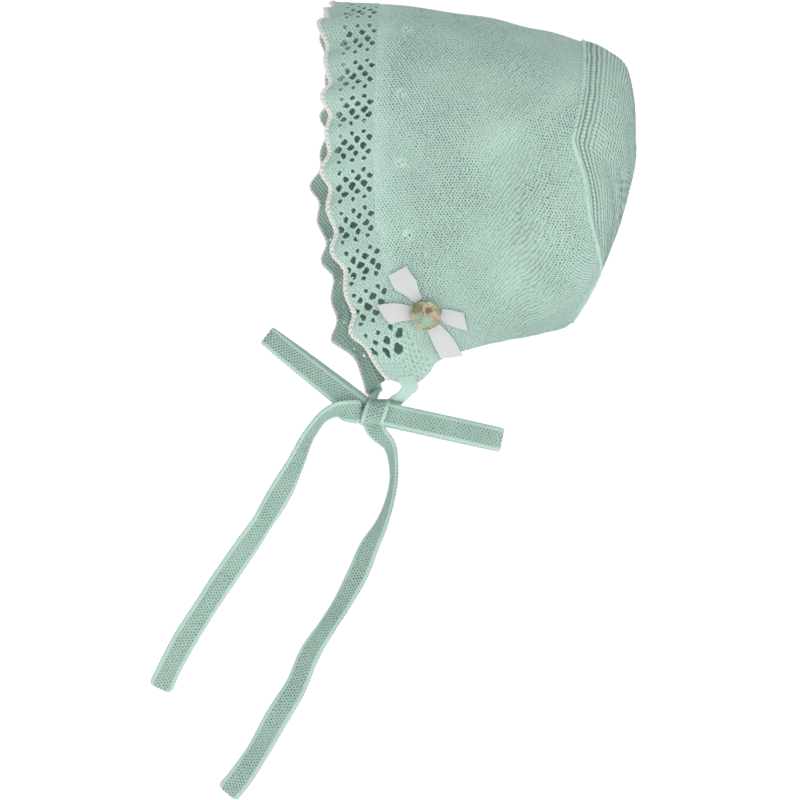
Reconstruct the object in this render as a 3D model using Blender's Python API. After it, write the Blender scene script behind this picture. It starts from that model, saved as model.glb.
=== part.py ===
"""A knitted baby bonnet with a lace frill, tied straps, a ribbon bow and a button.

Metres, +Z up. The face opening looks towards -Y and the wearer's left is +X.
The origin is under the top of the crown, where the head carries the bonnet.
"""
import math

import bmesh
import bpy
import numpy as np

# Sizes of the knitted body
DEPTH = 0.1148
CROWN = 0.0654
HALF_WIDTH = 0.0585
CHIN_DROP = 0.121
LACE_SEAM_Y = -0.045
AXIS_Z = -0.0578
WALL = 0.002
CLEARANCE = 0.0003

# Sizes of the seam, the frill and its edging
WELT_RADIUS = 0.0010
WELT_SINK = 0.0006
FRILL_WIDTH = 0.0178
FRILL_WALL = 0.0016
LOBE_LARGE = 0.0038
LOBE_SMALL = 0.0016
LOBE_TOP_EXTRA = 0.0042
LOBE_TOP_TURN = 48
LOBE_TOP_BLEND = 7
LOBE_TOP_REPEATS = 0.7
LOBE_TOP_START = 0.35
RUFFLE = 0.0016
RUFFLE_SECOND = 0.6
REPEATS_PER_SIDE = 11
FRILL_LEAN = 4.0
LEAN_REPEATS = 2.5
BRAID_RADIUS = 0.0010
CHIN_SHARE = 0.8
RIGHT_CHIN_DROOP = 3.3
RIGHT_CHIN_PULL = 0.0040
LEFT_CHIN_BULGE = 2.8
BULGE_POWER = 0.75
NARROW_FROM = 7
CHIN_NARROW = 0.0028
DRAW_IN_POWER = 0.6
RIGHT_SHIFT = 0.006
RIGHT_NECK_RAISE = 1.8

# Sizes of the ties
TIE_WIDTH = 0.0108
TIE_THICK = 0.0022
KNOT_X = 0.004
KNOT_Y = -0.0477
KNOT_Z = -0.1757
KNOT_HEIGHT = 0.0120
KNOT_HALF_LENGTH = 0.0052
KNOT_HALF_DEPTH = 0.0062
STRAP_SEWN = 0.0045
STRAP_BACK = 0.28
LEFT_STRAP_PLACE = 0.52
RIGHT_STRAP_PLACE = 0.80
STRAP_STATIONS = 16
LOOP_WIDTH_SHARE = 0.90
FRONT_LOOP = 0.0540
BACK_LOOP = 0.0520
FRONT_TAIL_DROP = 0.1236
BACK_TAIL_DROP = 0.1706

# Sizes of the ribbon bow and its button
RIBBON_WIDTH = 0.0100
RIBBON_THICK = 0.0006
RIBBON_LIFT = 0.0006
BOW_ALONG = 0.1485
BOW_TURN = 146.8
BUTTON_RADIUS = 0.0066
BUTTON_THICK = 0.0030
BUTTON_LIFT = 0.0025
THREAD_RADIUS = 0.0011

# Directions of the bow's loops, and of the straps' width where they meet the knot
FRONT_LOOP_WAY = (0.0, -0.80, 0.62)
BACK_LOOP_WAY = (0.0, 0.975, -0.215)
LEFT_STRAP_WIDE = (0.0, -0.35, 0.94)
RIGHT_STRAP_WIDE = (0.35, 0.94, 0.0)
# Places round the knot, as shares of its half depth, half length and height
FRONT_LOOP_START = (-0.16, -1.50, 0.125)
BACK_LOOP_START = (0.19, 1.10, -0.042)
LEFT_STRAP_END = (-0.85, 1.12, 0.12)
RIGHT_STRAP_END = (-0.30, -0.45, 0.61)

# Fineness of the solids
TUBE_SIDES = 6
KNOT_SIDES = 12
BUTTON_SIDES = 24
LACE_SAMPLES = 200
SHARP_ANGLE = 50

# Body sections: share of the depth, then of the crown height, half width and chin drop
SECTIONS = (
    (-0.27, 0.962, 0.930, 0.970),
    (0.00, 1.000, 0.940, 1.000),
    (0.22, 0.955, 0.985, 1.000),
    (0.44, 0.897, 1.000, 0.950),
    (0.64, 0.818, 0.970, 0.745),
    (0.745, 0.773, 0.900, 0.647),
    (0.83, 0.737, 0.800, 0.517),
    (0.90, 0.687, 0.660, 0.368),
    (0.953, 0.620, 0.490, 0.227),
    (0.983, 0.525, 0.320, 0.116),
    (0.9965, 0.380, 0.160, 0.041),
    (1.0, 0.0, 0.0, 0.0),
)
UPPER_ROUNDING = 2.1
LOWER_ROUNDING = 2.4

# Lines on the body: degrees turned from the top, then the share of the depth
LACE_LINE = (
    (0, -0.004), (15, -0.010), (30, -0.024), (52, -0.042), (76, -0.055), (94, -0.0575),
    (111, -0.053), (125, -0.045), (135, -0.0175), (145, 0.018), (150, 0.058),
    (153.5, 0.098), (157.6, 0.185), (165, 0.310), (173.5, 0.440),
)
SEAM_LINE = (
    (0, 0.801), (22, 0.784), (44, 0.767), (62, 0.751), (73, 0.734), (83.5, 0.713),
    (89, 0.704), (94, 0.715), (106, 0.749), (114, 0.762), (124, 0.775), (132, 0.796),
    (141, 0.819), (150, 0.835), (160, 0.845), (168, 0.828), (172, 0.793), (173.5, 0.745),
)
# The neck edge: share of the way from the lace to the seam, then degrees from the top
NECK_LINE = (
    (0.0, 157.6), (0.10, 156.2), (0.27, 154.4), (0.455, 153.5), (0.516, 153.9),
    (0.62, 157.5), (0.707, 164.1), (0.76, 167.3), (1.0, 173.5),
)
# Soft folds: start and end as share across and degrees, then width and height
FOLDS = (
    (0.92, 66, 0.52, 92, 0.0075, 0.0018),
    (0.88, 118, 0.62, 136, 0.0090, 0.0014),
    (0.70, 60, 0.82, 84, 0.0100, -0.0012),
)

# The right side of the lace line, drawn back or forward: degrees, share of RIGHT_SHIFT
RIGHT_LACE_SHIFT = (
    (0, 0.0), (10, 0.08), (30, 0.58), (55, 0.68), (75, 0.58), (98, 0.0), (132, 0.0),
    (158, -1.0), (173.5, -1.0),
)
# The nape below the ends of the seam: degrees from the top
NAPE_TURNS = (177.0, 180.0, -177.0)
NAPE_LIFT = 0.0002

SEAM_STATIONS = 45

# The frill's repeats, a little uneven: share of their count, then of the way along the lace
REPEAT_PLACES = (
    (0.0, 0.0), (0.136, 0.109), (0.227, 0.223), (0.318, 0.318), (0.5, 0.479), (0.682, 0.644),
    (0.864, 0.816), (0.955, 0.914), (1.0, 1.0),
)

# One repeat of the frill, as the share of the repeat where each row of cells ends
REPEAT_ROWS = (0.0, 0.346, 0.476, 0.524, 0.654)
FRILL_COLUMNS = 7
# Holes of one repeat: row of cells, column of cells counted from the outer edge
HOLES = ((1, 1), (1, 3), (1, 5), (3, 2), (3, 4))

# Tails: forward and down as shares of the tail's drop, out as thicknesses, twist in degrees
FRONT_TAIL = (
    (-0.050, 0.000, 1.9, 0), (-0.100, -0.004, 1.9, -24), (-0.137, -0.008, 1.7, -50),
    (-0.181, 0.012, 1.4, -62), (-0.232, 0.072, 1.0, -60), (-0.292, 0.195, 0.4, -38),
    (-0.354, 0.312, -0.1, -10), (-0.405, 0.396, -0.2, -26), (-0.478, 0.504, 0.2, -12),
    (-0.550, 0.608, 0.3, -10), (-0.620, 0.715, 0.0, -16), (-0.683, 0.815, -0.2, -6),
    (-0.738, 0.915, 0.0, -12), (-0.778, 1.000, 0.2, -6),
)
BACK_TAIL = (
    (-0.008, 0.040, -0.3, 24), (-0.005, 0.055, -0.3, 34), (0.036, 0.092, 0.1, 60),
    (0.049, 0.132, 0.3, 74), (0.050, 0.182, 0.3, 78), (0.042, 0.226, 0.0, 76),
    (0.015, 0.302, -0.2, 62), (-0.012, 0.350, -0.2, 42), (-0.043, 0.422, 0.0, 32),
    (-0.085, 0.500, 0.3, 44), (-0.123, 0.560, 0.3, 46), (-0.170, 0.633, 0.0, 34),
    (-0.208, 0.722, -0.2, 28), (-0.255, 0.798, 0.0, 12), (-0.312, 0.898, 0.1, 26),
    (-0.356, 0.962, 0.0, 12), (-0.388, 1.000, 0.0, 6),
)
TAIL_STATIONS = 30
TAIL_CROWD = 1.35
# Knot sections: share of the height, share of the full girth, backward lean in half lengths
KNOT_SECTIONS = (
    (0.0, 0.80, 0.34), (0.10, 0.96, 0.27), (0.35, 1.0, 0.08), (0.65, 1.0, -0.13),
    (0.90, 0.96, -0.31), (1.0, 0.80, -0.38),
)
# Straps from the chin corner to the knot: share of the way in X, Y and Z, then width share
LEFT_STRAP = (
    (0.00, 0.00, 0.00, 0.78), (0.14, 0.03, 0.08, 0.76), (0.42, 0.10, 0.20, 0.74),
    (0.72, 0.20, 0.31, 0.72), (0.94, 0.30, 0.42, 0.70), (1.02, 0.44, 0.58, 0.66),
    (1.02, 0.74, 0.84, 0.62), (1.00, 1.00, 1.00, 0.60),
)
RIGHT_STRAP = (
    (0.00, 0.00, 0.00, 0.66), (0.20, 0.16, 0.24, 0.56), (0.45, 0.42, 0.48, 0.52),
    (0.72, 0.72, 0.74, 0.54), (0.92, 0.94, 0.92, 0.56), (1.00, 1.00, 1.00, 0.58),
)
# Loops of the bow: share of the length, half the space between its two layers in thicknesses
LOOP_SPREAD = (
    (0.0, 0.62), (0.15, 0.85), (0.4, 1.2), (0.7, 1.15), (0.9, 0.95), (0.97, 0.7), (1.0, 0.0),
)
# Ribbon: back and up of its two edges in ribbon widths, height in layers
RIBBON_UPPER = (
    ((-0.52, 0.40), (-0.22, 0.66), 0.3), ((-1.05, 0.72), (-0.42, 1.00), 1.6),
    ((-1.50, 0.98), (-0.58, 1.42), 2.4), ((-1.82, 1.52), (-1.08, 2.02), 1.6),
)
RIBBON_FRONT = (
    ((-0.62, 0.22), (-0.60, -0.36), 0.3), ((-1.20, 0.32), (-1.18, -0.50), 1.8),
    ((-1.75, 0.28), (-1.50, -0.62), 2.6), ((-2.18, 0.16), (-1.80, -0.40), 1.6),
)
RIBBON_SHORT = (
    ((0.66, 0.26), (0.62, -0.22), 0.3), ((1.10, 0.22), (1.05, -0.48), 0.4),
    ((1.62, 0.12), (1.86, -0.68), 0.8),
)
RIBBON_LONG = (
    ((0.10, -0.70), (0.62, -0.42), 0.3), ((0.46, -1.40), (1.22, -1.02), 0.4),
    ((0.80, -2.00), (1.75, -1.85), 0.8),
)
# Half outline of the button: share of the radius, share of the thickness
BUTTON_OUTLINE = (
    (0.0, 0.0), (0.86, 0.0), (1.0, 0.28), (1.0, 0.72), (0.93, 1.0), (0.80, 0.92), (0.0, 0.92),
)


def smooth(knots, rows, at):
    """A smooth curve through the rows of a table, read where the knots say."""
    knots = np.asarray(knots, float)
    rows = np.asarray(rows, float)
    at = np.clip(at, knots[0], knots[-1])
    place = np.clip(np.searchsorted(knots, at, side="right") - 1, 0, len(knots) - 2)
    span = knots[place + 1] - knots[place]
    share = (at - knots[place]) / span
    slopes = np.gradient(rows, knots, axis=0)
    if rows.ndim > 1:
        span = span[..., None]
        share = share[..., None]
    rise = share * share * (3 - 2 * share)
    start = rows[place] * (1 - rise) + slopes[place] * span * share * (1 - share) ** 2
    return start + rows[place + 1] * rise + slopes[place + 1] * span * share * share * (share - 1)


def section_rows():
    """The body sections in metres, and how far along the outline each one lies."""
    rows = np.array(SECTIONS) * (DEPTH, CROWN, HALF_WIDTH, CHIN_DROP)
    rows[:, 0] += LACE_SEAM_Y
    steps = np.linalg.norm(np.diff(rows[:, :3], axis=0), axis=1)
    return rows, np.concatenate(((0.0,), np.cumsum(steps))) / steps.sum()


ROWS, KNOTS = section_rows()
ALONG_SAMPLES = np.linspace(0, 1, 801)
Y_SAMPLES = smooth(KNOTS, ROWS, ALONG_SAMPLES)[:, 0]
TINY = 1e-6
STEP = 2e-4


def skin(along, turn):
    """A point of the bare outer form, at a share along it and an angle from the top."""
    along, turn = np.broadcast_arrays(np.asarray(along, float), np.asarray(turn, float))
    row = smooth(KNOTS, ROWS, along)
    upper = np.cos(turn) > 0
    power = np.where(upper, UPPER_ROUNDING, LOWER_ROUNDING)
    tall = np.maximum(np.where(upper, row[..., 1], row[..., 3]), TINY)
    side = np.maximum(row[..., 2], TINY)
    spread = (np.abs(np.sin(turn)) / side) ** power + (np.abs(np.cos(turn)) / tall) ** power
    reach = spread ** (-1 / power)
    return np.stack((reach * np.sin(turn), row[..., 0], AXIS_Z + reach * np.cos(turn)), axis=-1)


def slopes_at(along, turn):
    """The two directions in the surface and the outward normal at a place."""
    along = np.clip(along, STEP, 1 - 2 * STEP)
    back = (skin(along + STEP, turn) - skin(along - STEP, turn)) / (2 * STEP)
    round_ = (skin(along, turn + STEP) - skin(along, turn - STEP)) / (2 * STEP)
    normal = np.cross(round_, back)
    return back, round_, normal / np.linalg.norm(normal, axis=-1, keepdims=True)


def lifted(along, turn, height):
    """A point that stands off the bare form by a height."""
    normal = slopes_at(along, turn)[2]
    return skin(along, turn) + normal * np.asarray(height)[..., None]


def along_at(y):
    """How far along the body a front-to-back place lies."""
    return np.interp(y, Y_SAMPLES, ALONG_SAMPLES)


def line_y(table, turn):
    """The front-to-back place of a line on the body, alike on both sides."""
    table = np.array(table)
    return LACE_SEAM_Y + DEPTH * smooth(np.radians(table[:, 0]), table[:, 1], np.abs(turn))


def lace_y(turn):
    """The lace line, which the tied straps draw forward at the right chin corner."""
    table = np.array(RIGHT_LACE_SHIFT)
    shift = smooth(np.radians(table[:, 0]), table[:, 1], np.maximum(-np.asarray(turn), 0.0))
    return line_y(LACE_LINE, turn) + RIGHT_SHIFT * shift


def neck_turn(across):
    """The angle of the neck edge at a share of the way from the lace to the seam."""
    table = np.array(NECK_LINE)
    return np.radians(smooth(table[:, 0], table[:, 1], across))


def panel_turn(down, across):
    """The angle at a share of the way down one side, with the right neck edge drawn up."""
    raised = np.where(down < 0, np.radians(RIGHT_NECK_RAISE) * np.sin(math.pi * across), 0.0)
    return down * (neck_turn(across) - raised)


def panel_along(across, turn):
    """The place along the body at a share of the way from the lace to the seam."""
    front = lace_y(turn)
    return along_at(front + (line_y(SEAM_LINE, turn) - front) * across)


def slid(along, turn, distance):
    """The places of a line on the body, moved sideways in the surface towards the back."""
    back, round_, normal = slopes_at(along, turn)
    run = np.gradient(skin(along, turn), axis=0)
    side = np.cross(normal, run)
    side *= np.sign(side[:, 1:2] + TINY) / np.linalg.norm(side, axis=-1, keepdims=True)
    moved_along = np.empty(len(along))
    moved_turn = np.empty(len(along))
    for k in range(len(along)):
        frame = np.stack((back[k], round_[k]), axis=1)
        change = np.linalg.lstsq(frame, side[k] * distance, rcond=None)[0]
        moved_along[k] = along[k] + change[0]
        moved_turn[k] = turn[k] + change[1]
    return moved_along, moved_turn


def fold_height(along, turn):
    """The height of the soft folds of the body, alike on both sides."""
    place = skin(along, np.abs(turn))
    height = np.zeros(place.shape[:-1])
    for across_a, turn_a, across_b, turn_b, width, rise in FOLDS:
        start = skin(panel_along(across_a, math.radians(turn_a)), math.radians(turn_a))
        end = skin(panel_along(across_b, math.radians(turn_b)), math.radians(turn_b))
        run = end - start
        share = np.clip((place - start) @ run / (run @ run), 0, 1)
        gap = np.linalg.norm(place - start - share[..., None] * run, axis=-1)
        height += rise * np.exp(-(gap / width) ** 2)
    return height


def material(name, colour, roughness, metallic=0.0):
    """A plain finish in the colour of the piece."""
    finish = bpy.data.materials.new(name)
    finish.use_nodes = True
    shader = finish.node_tree.nodes["Principled BSDF"]
    shader.inputs["Base Color"].default_value = (*colour, 1.0)
    shader.inputs["Roughness"].default_value = roughness
    shader.inputs["Metallic"].default_value = metallic
    return finish


def add_mesh(name, points, faces, finish):
    """One closed body with its faces pointing out, and coinciding points joined."""
    mesh = bpy.data.meshes.new(name)
    shape = bmesh.new()
    corners = [shape.verts.new(tuple(point)) for point in points]
    for face in faces:
        shape.faces.new([corners[k] for k in face])
    bmesh.ops.remove_doubles(shape, verts=shape.verts, dist=TINY)
    bmesh.ops.recalc_face_normals(shape, faces=shape.faces)
    shape.to_mesh(mesh)
    shape.free()
    mesh.shade_smooth()
    mesh.set_sharp_from_angle(angle=math.radians(SHARP_ANGLE))
    mesh.materials.append(finish)
    piece = bpy.data.objects.new(name, mesh)
    bpy.context.scene.collection.objects.link(piece)
    return piece


def sheet(name, outer, inner, finish, missing=(), ring=False):
    """A closed sheet between two grids of points, walled round its edge and its holes."""
    rows, columns = outer.shape[:2]
    half = rows * columns
    last_row = rows if ring else rows - 1
    cells = {(i, j) for i in range(last_row) for j in range(columns - 1)} - set(missing)
    faces = []
    for i, j in sorted(cells):
        below = (i + 1) % rows
        a, b = i * columns + j, below * columns + j
        c, d = b + 1, a + 1
        faces.append((a, b, c, d))
        faces.append((d + half, c + half, b + half, a + half))
        before = (i - 1) % rows if ring else i - 1
        after = below if ring else i + 1
        beside = (((i, j - 1), a, b), ((after, j), b, c), ((i, j + 1), c, d), ((before, j), d, a))
        for neighbour, start, end in beside:
            if neighbour not in cells:
                faces.append((end, start, start + half, end + half))
    return add_mesh(name, np.concatenate((outer.reshape(-1, 3), inner.reshape(-1, 3))), faces, finish)


def loft(name, rings, finish):
    """A closed body through equal rings of points, capped at both ends."""
    sides = len(rings[0])
    faces = [tuple(range(sides - 1, -1, -1))]
    for i in range(len(rings) - 1):
        for k in range(sides):
            nearer = i * sides
            after = (k + 1) % sides
            faces.append((nearer + k, nearer + after, nearer + sides + after, nearer + sides + k))
    last = (len(rings) - 1) * sides
    faces.append(tuple(range(last, last + sides)))
    return add_mesh(name, np.concatenate(rings), faces, finish)


def tube(name, path, facing, radius, sides, finish):
    """A round tube along a path."""
    run = np.gradient(path, axis=0)
    across = np.cross(run, facing)
    across /= np.linalg.norm(across, axis=-1, keepdims=True)
    out = np.cross(across, run)
    out /= np.linalg.norm(out, axis=-1, keepdims=True)
    angles = np.linspace(0, math.tau, sides, endpoint=False)
    rings = [path[i] + radius * (np.outer(np.cos(angles), across[i]) + np.outer(np.sin(angles), out[i]))
             for i in range(len(path))]
    return loft(name, rings, finish)


def band(name, path, wide, width, thick, finish):
    """A flat tubular band along a path, with the direction of its width at each point."""
    run = np.gradient(path, axis=0)
    run /= np.linalg.norm(run, axis=-1, keepdims=True)
    wide = wide - run * np.sum(wide * run, axis=-1, keepdims=True)
    wide /= np.linalg.norm(wide, axis=-1, keepdims=True)
    out = np.cross(wide, run)
    rings = []
    for i in range(len(path)):
        half = width[i] / 2
        flat = half - thick / 2
        corners = ((-half, 0), (-flat, thick / 2), (flat, thick / 2),
                   (half, 0), (flat, -thick / 2), (-flat, -thick / 2))
        rings.append(np.array([path[i] + a * wide[i] + b * out[i] for a, b in corners]))
    return loft(name, rings, finish)


def make_main_panel(finish):
    """The plain knitted body, from the lace round to the back seam."""
    across = np.array((0, 0.08, 0.17, 0.28, 0.39, 0.50, 0.61, 0.72, 0.82, 0.91, 1.0))
    down = np.linspace(-1, 1, SEAM_STATIONS)
    turn = panel_turn(down[:, None], across[None, :])
    along = panel_along(across[None, :], turn)
    along[:, 0], turn[:, 0] = slid(along[:, 0], turn[:, 0], CLEARANCE / 2)
    along[:, -1], turn[:, -1] = slid(along[:, -1], turn[:, -1], -WELT_RADIUS - CLEARANCE)
    height = fold_height(along, turn) * np.sin(math.pi * across) ** 0.5
    return sheet("main_panel", lifted(along, turn, height), lifted(along, turn, height - WALL), finish)


def seam_places():
    """The back seam from one side of the nape over the crown to the other."""
    last = math.radians(SEAM_LINE[-1][0])
    turn = np.linspace(-last, last, SEAM_STATIONS)
    return along_at(line_y(SEAM_LINE, turn)), turn


def make_back_panel(finish):
    """The ridged crown and back, inside the seam and down to the nape."""
    along, turn = seam_places()
    along, turn = slid(along, turn, WELT_RADIUS + CLEARANCE)
    nape_turn = np.radians(NAPE_TURNS)
    nape_along = along_at(np.full(len(NAPE_TURNS), line_y(SEAM_LINE, turn[-1]) + NAPE_LIFT))
    along = np.concatenate((along, nape_along))
    turn = np.concatenate((turn, nape_turn))
    inward = np.array((0, 0.12, 0.26, 0.42, 0.58, 0.74, 0.88, 1.0))
    along = along[:, None] + (1 - along[:, None]) * inward[None, :]
    turn = np.repeat(turn[:, None], len(inward), axis=1)
    outer = lifted(along, turn, np.zeros(along.shape))
    inner = lifted(along, turn, np.full(along.shape, -WALL))
    pole = skin(1.0, 0.0)
    outer[:, -1] = pole
    inner[:, -1] = pole - np.array((0, WALL, 0))
    return sheet("back_panel", outer, inner, finish, ring=True)


def make_seam_welt(finish):
    """The raised welt that joins the two panels."""
    along, turn = seam_places()
    path = lifted(along, turn, np.full(len(along), -WELT_SINK))
    return tube("seam_welt", path, slopes_at(along, turn)[2], WELT_RADIUS, TUBE_SIDES, finish)


def lace_turns():
    """The angle of the lace line at equal lengths along it, as a table of share and angle."""
    last = math.radians(NECK_LINE[0][1])
    turn = np.linspace(0, last, LACE_SAMPLES)
    points = skin(along_at(line_y(LACE_LINE, turn)), turn)
    length = np.concatenate(((0.0,), np.cumsum(np.linalg.norm(np.diff(points, axis=0), axis=1))))
    return length / length[-1], turn


def repeat_turn(count):
    """The angle of the lace line at a count of repeats from the top."""
    table = np.array(REPEAT_PLACES)
    place = smooth(table[:, 0], table[:, 1], count / REPEATS_PER_SIDE)
    return np.interp(place, *lace_turns())


def frill_reach(repeats):
    """The width of the frill at a count of repeats from the top, drawn in at both chin corners."""
    count = np.abs(repeats)
    wave = 0.5 + 0.5 * np.cos(math.tau * count)
    large = 0.5 + 0.5 * np.cos(math.pi * count)
    lobe = wave * (LOBE_SMALL + (LOBE_LARGE - LOBE_SMALL) * large)
    near_top = 1 / (1 + np.exp((np.degrees(repeat_turn(count)) - LOBE_TOP_TURN) / LOBE_TOP_BLEND))
    grown = np.clip(count / LOBE_TOP_REPEATS, LOBE_TOP_START, 1)
    lower = np.clip((count - NARROW_FROM) / (REPEATS_PER_SIDE - NARROW_FROM), 0, 1)
    drawn_in = CHIN_NARROW * (4 * lower * (1 - lower)) ** DRAW_IN_POWER
    last = np.clip(count - REPEATS_PER_SIDE + 1, 0, 1)
    pulled = RIGHT_CHIN_PULL * 4 * last * (1 - last) * (repeats < 0)
    return FRILL_WIDTH + grown * (lobe + LOBE_TOP_EXTRA * near_top) - drawn_in - pulled


def frill_places(repeats, outward):
    """Places and heights on the frill, at a count of repeats from the top and a share outward."""
    side = np.sign(repeats + TINY)
    count = np.abs(repeats)
    turn = repeat_turn(count)
    chin = np.clip((count / REPEATS_PER_SIDE - CHIN_SHARE) / (1 - CHIN_SHARE), 0, 1) ** 2
    lean = FRILL_LEAN * np.clip(count / LEAN_REPEATS, 0, 1) + RIGHT_CHIN_DROOP * chin * (side < 0)
    bulge = LEFT_CHIN_BULGE * chin * (side > 0) * np.sin(math.pi * np.clip(outward, 0, 1) ** BULGE_POWER)
    along = along_at(lace_y(side * turn) - frill_reach(repeats) * outward)
    ruffle = np.cos(math.tau * count) + RUFFLE_SECOND * np.cos(math.pi * count)
    height = RUFFLE * np.maximum(outward, 0) ** 1.5 * ruffle
    return along, side * (turn + np.radians(lean * outward + bulge)), height


def frill_rows():
    """The count of repeats at each row of cells, and the rows where a repeat starts."""
    repeats = range(-REPEATS_PER_SIDE, REPEATS_PER_SIDE)
    counts = [whole + part for whole in repeats for part in REPEAT_ROWS]
    return np.array(counts + [REPEATS_PER_SIDE], float)


def make_lace_frill(finish):
    """The openwork band round the face, cut through by its holes."""
    outward = np.linspace(1, 0, FRILL_COLUMNS + 1)
    counts = frill_rows()
    along, turn, height = frill_places(counts[:, None], outward[None, :])
    turn = turn + np.zeros(along.shape)
    along[:, -1], turn[:, -1] = slid(along[:, -1], turn[:, -1], -CLEARANCE / 2)
    rows = len(REPEAT_ROWS)
    repeats = range(2 * REPEATS_PER_SIDE)
    missing = [(repeat * rows + row, column) for repeat in repeats for row, column in HOLES]
    return sheet("lace_frill", lifted(along, turn, height), lifted(along, turn, height - FRILL_WALL),
                 finish, missing=missing)


def make_edging_braid(finish):
    """The chain edging along the frill's scallops."""
    along, turn, height = frill_places(frill_rows(), 1.0)
    facing = slopes_at(along, turn)[2]
    along, turn = slid(along, turn, -BRAID_RADIUS - CLEARANCE)
    path = lifted(along, turn, height - FRILL_WALL / 2)
    return tube("edging_braid", path, facing, BRAID_RADIUS, TUBE_SIDES, finish)


def make_knot(finish):
    """The wrap of the bow under the chin."""
    angles = np.linspace(0, math.tau, KNOT_SIDES, endpoint=False)
    rings = []
    for drop, girth, lean in KNOT_SECTIONS:
        x = KNOT_X + girth * KNOT_HALF_DEPTH * np.cos(angles)
        y = KNOT_Y + KNOT_HALF_LENGTH * (girth * np.sin(angles) + lean)
        z = np.full(len(angles), KNOT_Z + KNOT_HEIGHT * (0.5 - drop))
        rings.append(np.stack((x, y, z), axis=-1))
    return loft("bow_knot", rings, finish)


def knot_place(shares):
    """A place round the knot, from shares of its half depth, half length and height."""
    size = np.array((KNOT_HALF_DEPTH, KNOT_HALF_LENGTH, KNOT_HEIGHT))
    return np.array((KNOT_X, KNOT_Y, KNOT_Z)) + np.array(shares) * size


def eased(points, count, crowd=1.0):
    """A smooth path through a few points, whose stations may crowd towards its start."""
    points = np.array(points, float)
    steps = np.linalg.norm(np.diff(points[:, :3], axis=0), axis=1)
    knots = np.concatenate(((0.0,), np.cumsum(steps)))
    return smooth(knots, points, knots[-1] * np.linspace(0, 1, count) ** crowd)


def sewn_place(side, outward):
    """Where a strap is sewn on outside the chin corner, the frill's edge below and its run there."""
    half_run = 0.2
    counts = side * (REPEATS_PER_SIDE - np.array((STRAP_BACK, 0, 0, 0)))
    along, turn, height = frill_places(counts, outward + np.array((0, 0, -half_run, half_run)))
    points = lifted(along, turn, height + 2 * CLEARANCE + TIE_THICK / 2)
    return points[0], points[1], points[2] - points[3]


def make_strap(name, side, outward, table, end, wide_end, finish):
    """A strap sewn to one chin corner, down to the knot."""
    sewn, edge, run = sewn_place(side, outward)
    fall = (edge - sewn) / np.linalg.norm(edge - sewn)
    start = edge + fall * STRAP_SEWN / 2
    table = np.array(table)
    points = start + table[:, :3] * (knot_place(end) - start)
    first = np.append(sewn, table[0, 3])
    chosen = np.concatenate((first[None, :], np.column_stack((points, table[:, 3]))))
    rows = eased(chosen, STRAP_STATIONS)
    share = np.linspace(0, 1, len(rows))[:, None] ** 2
    wide = run / np.linalg.norm(run) * (1 - share) + np.array(wide_end) * share
    return band(name, rows[:, :3], wide, TIE_WIDTH * rows[:, 3], TIE_THICK, finish)


def make_loop(name, direction, length, enter, finish):
    """One loop of the tied bow: out from the knot, folded at its end and back."""
    direction = np.array(direction, float) / np.linalg.norm(direction)
    outward = np.array((TIE_THICK, 0.0, 0.0))
    start = knot_place(enter)
    out = [start + direction * length * share + outward * spread for share, spread in LOOP_SPREAD]
    home = [start + direction * length * share - outward * spread
            for share, spread in LOOP_SPREAD[-2::-1]]
    path = np.array(out + home)
    wide = np.repeat(np.cross(outward, direction)[None, :], len(path), axis=0)
    return band(name, path, wide, np.full(len(path), TIE_WIDTH * LOOP_WIDTH_SHARE), TIE_THICK, finish)


def make_tail(name, table, drop, finish):
    """One hanging end of the ties."""
    chosen = [(forward * drop, -down * drop, out * TIE_THICK, twist)
              for forward, down, out, twist in table]
    rows = eased(chosen, TAIL_STATIONS, TAIL_CROWD)
    path = np.stack((KNOT_X + rows[:, 2], KNOT_Y + rows[:, 0], KNOT_Z + rows[:, 1]), axis=-1)
    run = np.gradient(path, axis=0)
    flat = np.stack((np.zeros(len(path)), -run[:, 2], run[:, 1]), axis=-1)
    flat /= np.linalg.norm(flat, axis=-1, keepdims=True)
    twist = np.radians(rows[:, 3])[:, None]
    wide = flat * np.cos(twist) + np.array((1.0, 0.0, 0.0)) * np.sin(twist)
    return band(name, path, wide, np.full(len(path), TIE_WIDTH), TIE_THICK, finish)


def bow_centre():
    """Where the bow sits: the place along and the angle."""
    return along_at(LACE_SEAM_Y + BOW_ALONG * DEPTH), math.radians(BOW_TURN)


def bow_point(backward, upward, height):
    """A point over the knit, by its distance back and up from the bow's centre."""
    along, turn = bow_centre()
    walk = 6
    for _ in range(walk):
        back, round_, normal = slopes_at(along, turn)
        aft = back / np.linalg.norm(back)
        rise = np.cross(normal, aft)
        rise *= np.sign(rise[2])
        step = (aft * backward + rise * upward) / walk
        change = np.linalg.lstsq(np.stack((back, round_), axis=1), step, rcond=None)[0]
        along = along + change[0]
        turn = turn + change[1]
    return skin(along, turn) + slopes_at(along, turn)[2] * height


def ribbon(name, stations, finish):
    """A strip of ribbon over the knit, by its two edges and its height at each station."""
    half = RIBBON_THICK / 2
    rings = []
    for (back_a, up_a), (back_b, up_b), layers in stations:
        height = RIBBON_LIFT + layers * RIBBON_THICK
        corners = ((back_a, up_a, -half), (back_b, up_b, -half), (back_b, up_b, half),
                   (back_a, up_a, half))
        rings.append(np.array([bow_point(back * RIBBON_WIDTH, up * RIBBON_WIDTH, height + off)
                               for back, up, off in corners]))
    return loft(name, rings, finish)


def make_thread(finish):
    """The thread shank that holds the button to the knit."""
    along, turn = bow_centre()
    normal = slopes_at(along, turn)[2]
    base = skin(along, turn)
    heights = (CLEARANCE, BUTTON_LIFT / 2, BUTTON_LIFT - CLEARANCE)
    path = np.array([base + normal * height for height in heights])
    facing = np.repeat(slopes_at(along, turn)[0][None, :], len(path), axis=0)
    return tube("button_thread", path, facing, THREAD_RADIUS, TUBE_SIDES + 2, finish)


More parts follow.
